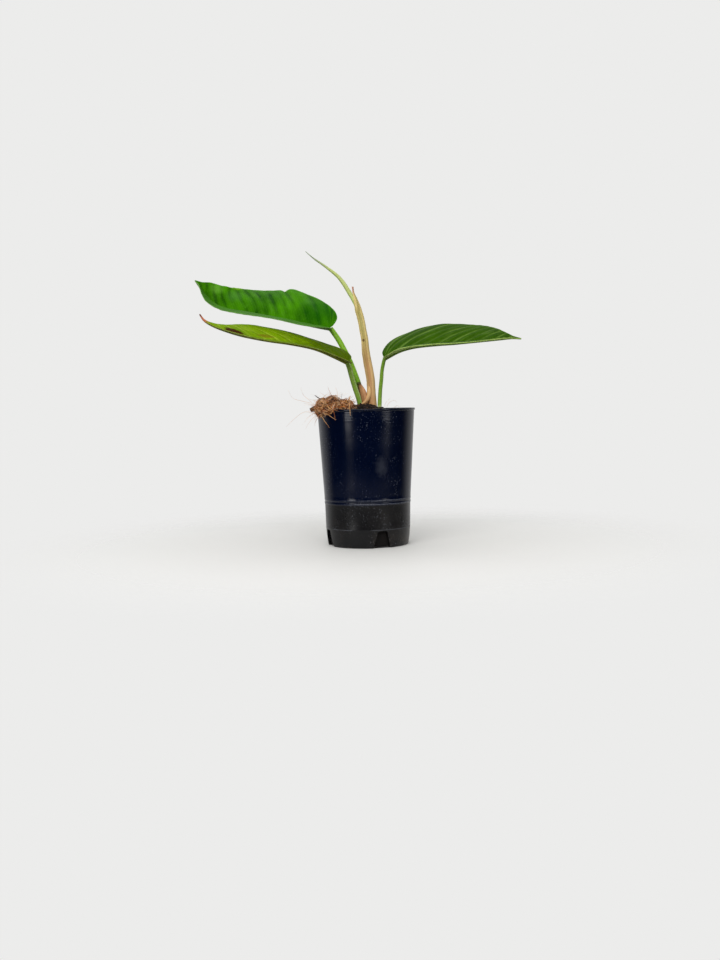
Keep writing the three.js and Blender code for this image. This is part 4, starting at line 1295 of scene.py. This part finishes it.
def upper_skin(name, leaf, dark, light, vein, lines, edge, near_half_sheen, shine, spots=()):
    """Upper side of a blade: lines is how strongly its veins show pale, partly as painted highlight on
    the lit side of each furrow. The argument after edge is the colour and share of a painted sheen on
    the near half."""
    recipe = Recipe(name, specular=0.04, specular_tint=(0.4, 0.9, 0.1, 1))
    maps = vein_maps(recipe, leaf.pleats)
    where = recipe.place()
    cloudy = recipe.noise(where, 40, 3, 0.55)
    mottled = recipe.noise(where, 420, 4, 0.6)
    uneven = recipe.plus(recipe.times(recipe.between(maps.streak, 0.35, 0.65), 0.8), 0.2)
    # Painted shade: the colour darkens into the furrow at each side vein, unevenly along it.
    furrow_shade = recipe.times(recipe.between(maps.pleat, 0.15, 1.05), uneven)
    tone = recipe.minus(recipe.times(cloudy, 1.5), recipe.times(furrow_shade, 0.5))
    colour = recipe.coats(
        recipe.mix(recipe.minus(tone, 0.1, clamp=True), dark, light),
        (recipe.between(mottled, 0.5, 0.7), vein, 0.08),
        # Painted sheen: pale streaks that run along the veins.
        (recipe.between(maps.streak, 0.52, 0.74), vein, 0.22),
        (maps.fine, vein, 0.08),
        # Pale vein lines: the paler veins, with painted highlight on the lit side of each furrow.
        (recipe.times(maps.vein, lines), vein, uneven),
        # Painted sheen: the near half is tinted paler.
        (recipe.between(maps.across, 0.49, 0.46), *near_half_sheen),
        (maps.edge, edge, 0.6),
    )
    rough = recipe.plus(shine, recipe.times(mottled, 0.18))
    quilt = recipe.plus(recipe.times(maps.fine, -0.5), recipe.times(mottled, 0.6))
    normal = recipe.bump(quilt, 0.12 * MM, 0.5)
    return recipe.done(spotted(recipe, colour, leaf, spots), rough, normal)


def under_skin(name, leaf, flesh, vein, spots=()):
    """Underside of a blade: paler, duller, with the veins standing out."""
    recipe = Recipe(name, roughness=0.6, specular=0.1)
    maps = vein_maps(recipe, leaf.pleats)
    mottled = recipe.noise(recipe.place(), 380, 4, 0.6)
    lighter = tuple(min(255, c + 22) for c in flesh)
    colour = recipe.shades(mottled, 0.35, 0.65, flesh, lighter)
    colour = recipe.coats(colour, (maps.fine, vein, 0.2), (maps.vein, vein, 0.7))
    ribs = recipe.plus(maps.vein, recipe.times(maps.fine, 0.3))
    normal = recipe.bump(ribs, 0.2 * MM, 0.7)
    return recipe.done(spotted(recipe, colour, leaf, spots), normal=normal)


def rod_skin(name, leaf, dark, light, spots=()):
    recipe = Recipe(name, roughness=0.55, specular=0.15)
    streaks = recipe.streaks(4, 10, 1.5, 3, 0.6)
    return recipe.done(spotted(recipe, recipe.mix(streaks, dark, light), leaf, spots))


young_skins = [
    upper_skin(
        "young_blade", UPPER_LEFT, (6, 58, 0), (66, 134, 0), (92, 146, 50), 0.0, (120, 172, 60),
        ((92, 132, 62), 0.2), 0.36,
        spots=[
            # Painted highlights: the first, second, third and fifth spots are pale highlight and sheen. The
            # fourth makes the part near the stalk darker.
            ((126, 176, 30), 0.6, (0.73, 0.78), (7, 8, 2.6), 0.1, 0.8),
            ((92, 148, 66), 0.2, (0.2, 0.7), (9, 9, 6), 0, 0.9),
            ((104, 160, 56), 0.5, (0.87, 0.35), (8, 9, 7), 0, 0.9),
            ((14, 82, 0), 0.5, (0.1, 0.45), (24, 26, 26), 0, 0.8),
            ((84, 140, 60), 0.3, (0.7, 0.45), (10, 10, 8), 0, 0.9),
        ],
    ),
    under_skin("young_blade_under", UPPER_LEFT, (96, 134, 64), (120, 154, 84)),
    rod_skin("young_rod", UPPER_LEFT, (92, 128, 60), (116, 146, 78)),
]
DRY_TIP = [
    ((190, 110, 76), 1.0, (1.02, 0), (16, 12, 12), 0, 0.4),
    ((104, 54, 34), 1.0, (1.02, 0), (6, 6, 6), 0, 0.5),
]
old_skins = [
    upper_skin(
        "old_blade", LOWER_LEFT, (48, 80, 0), (122, 158, 2), (168, 194, 52), 0.6, (110, 140, 30),
        ((96, 108, 20), 0.2), 0.4,
        spots=[
            ((58, 78, 0), 0.85, (0.0, 0.2), (60, 50, 50), 0, 0.7),
            ((56, 20, 6), 0.97, (0.75, 0.12), (9.5, 9, 2.5), 0.35, 0.3),
            ((108, 84, 16), 0.6, (0.55, 0.25), (9, 8, 1.8), 0.15, 0.6),
            *DRY_TIP,
        ],
    ),
    under_skin("old_blade_under", LOWER_LEFT, (104, 118, 30), (126, 138, 50), DRY_TIP),
    rod_skin("old_rod", LOWER_LEFT, (104, 112, 34), (132, 136, 58), DRY_TIP),
]
dark_skins = [
    upper_skin(
        "dark_blade", RIGHT, (14, 44, 0), (50, 86, 0), (100, 132, 50), 0.75, (92, 124, 30),
        ((84, 116, 24), 0.1), 0.42,
    ),
    under_skin("dark_blade_under", RIGHT, (146, 176, 78), (168, 194, 104)),
    rod_skin("dark_rod", RIGHT, (100, 130, 46), (124, 152, 68)),
]

# %% Make the blades
make_blade("upper_left", UPPER_LEFT, 12, 22, young_skins, "young_blade")
make_blade("lower_left", LOWER_LEFT, 14, 18, old_skins, "old_blade")
make_blade("right", RIGHT, 14, 20, dark_skins, "dark_blade")
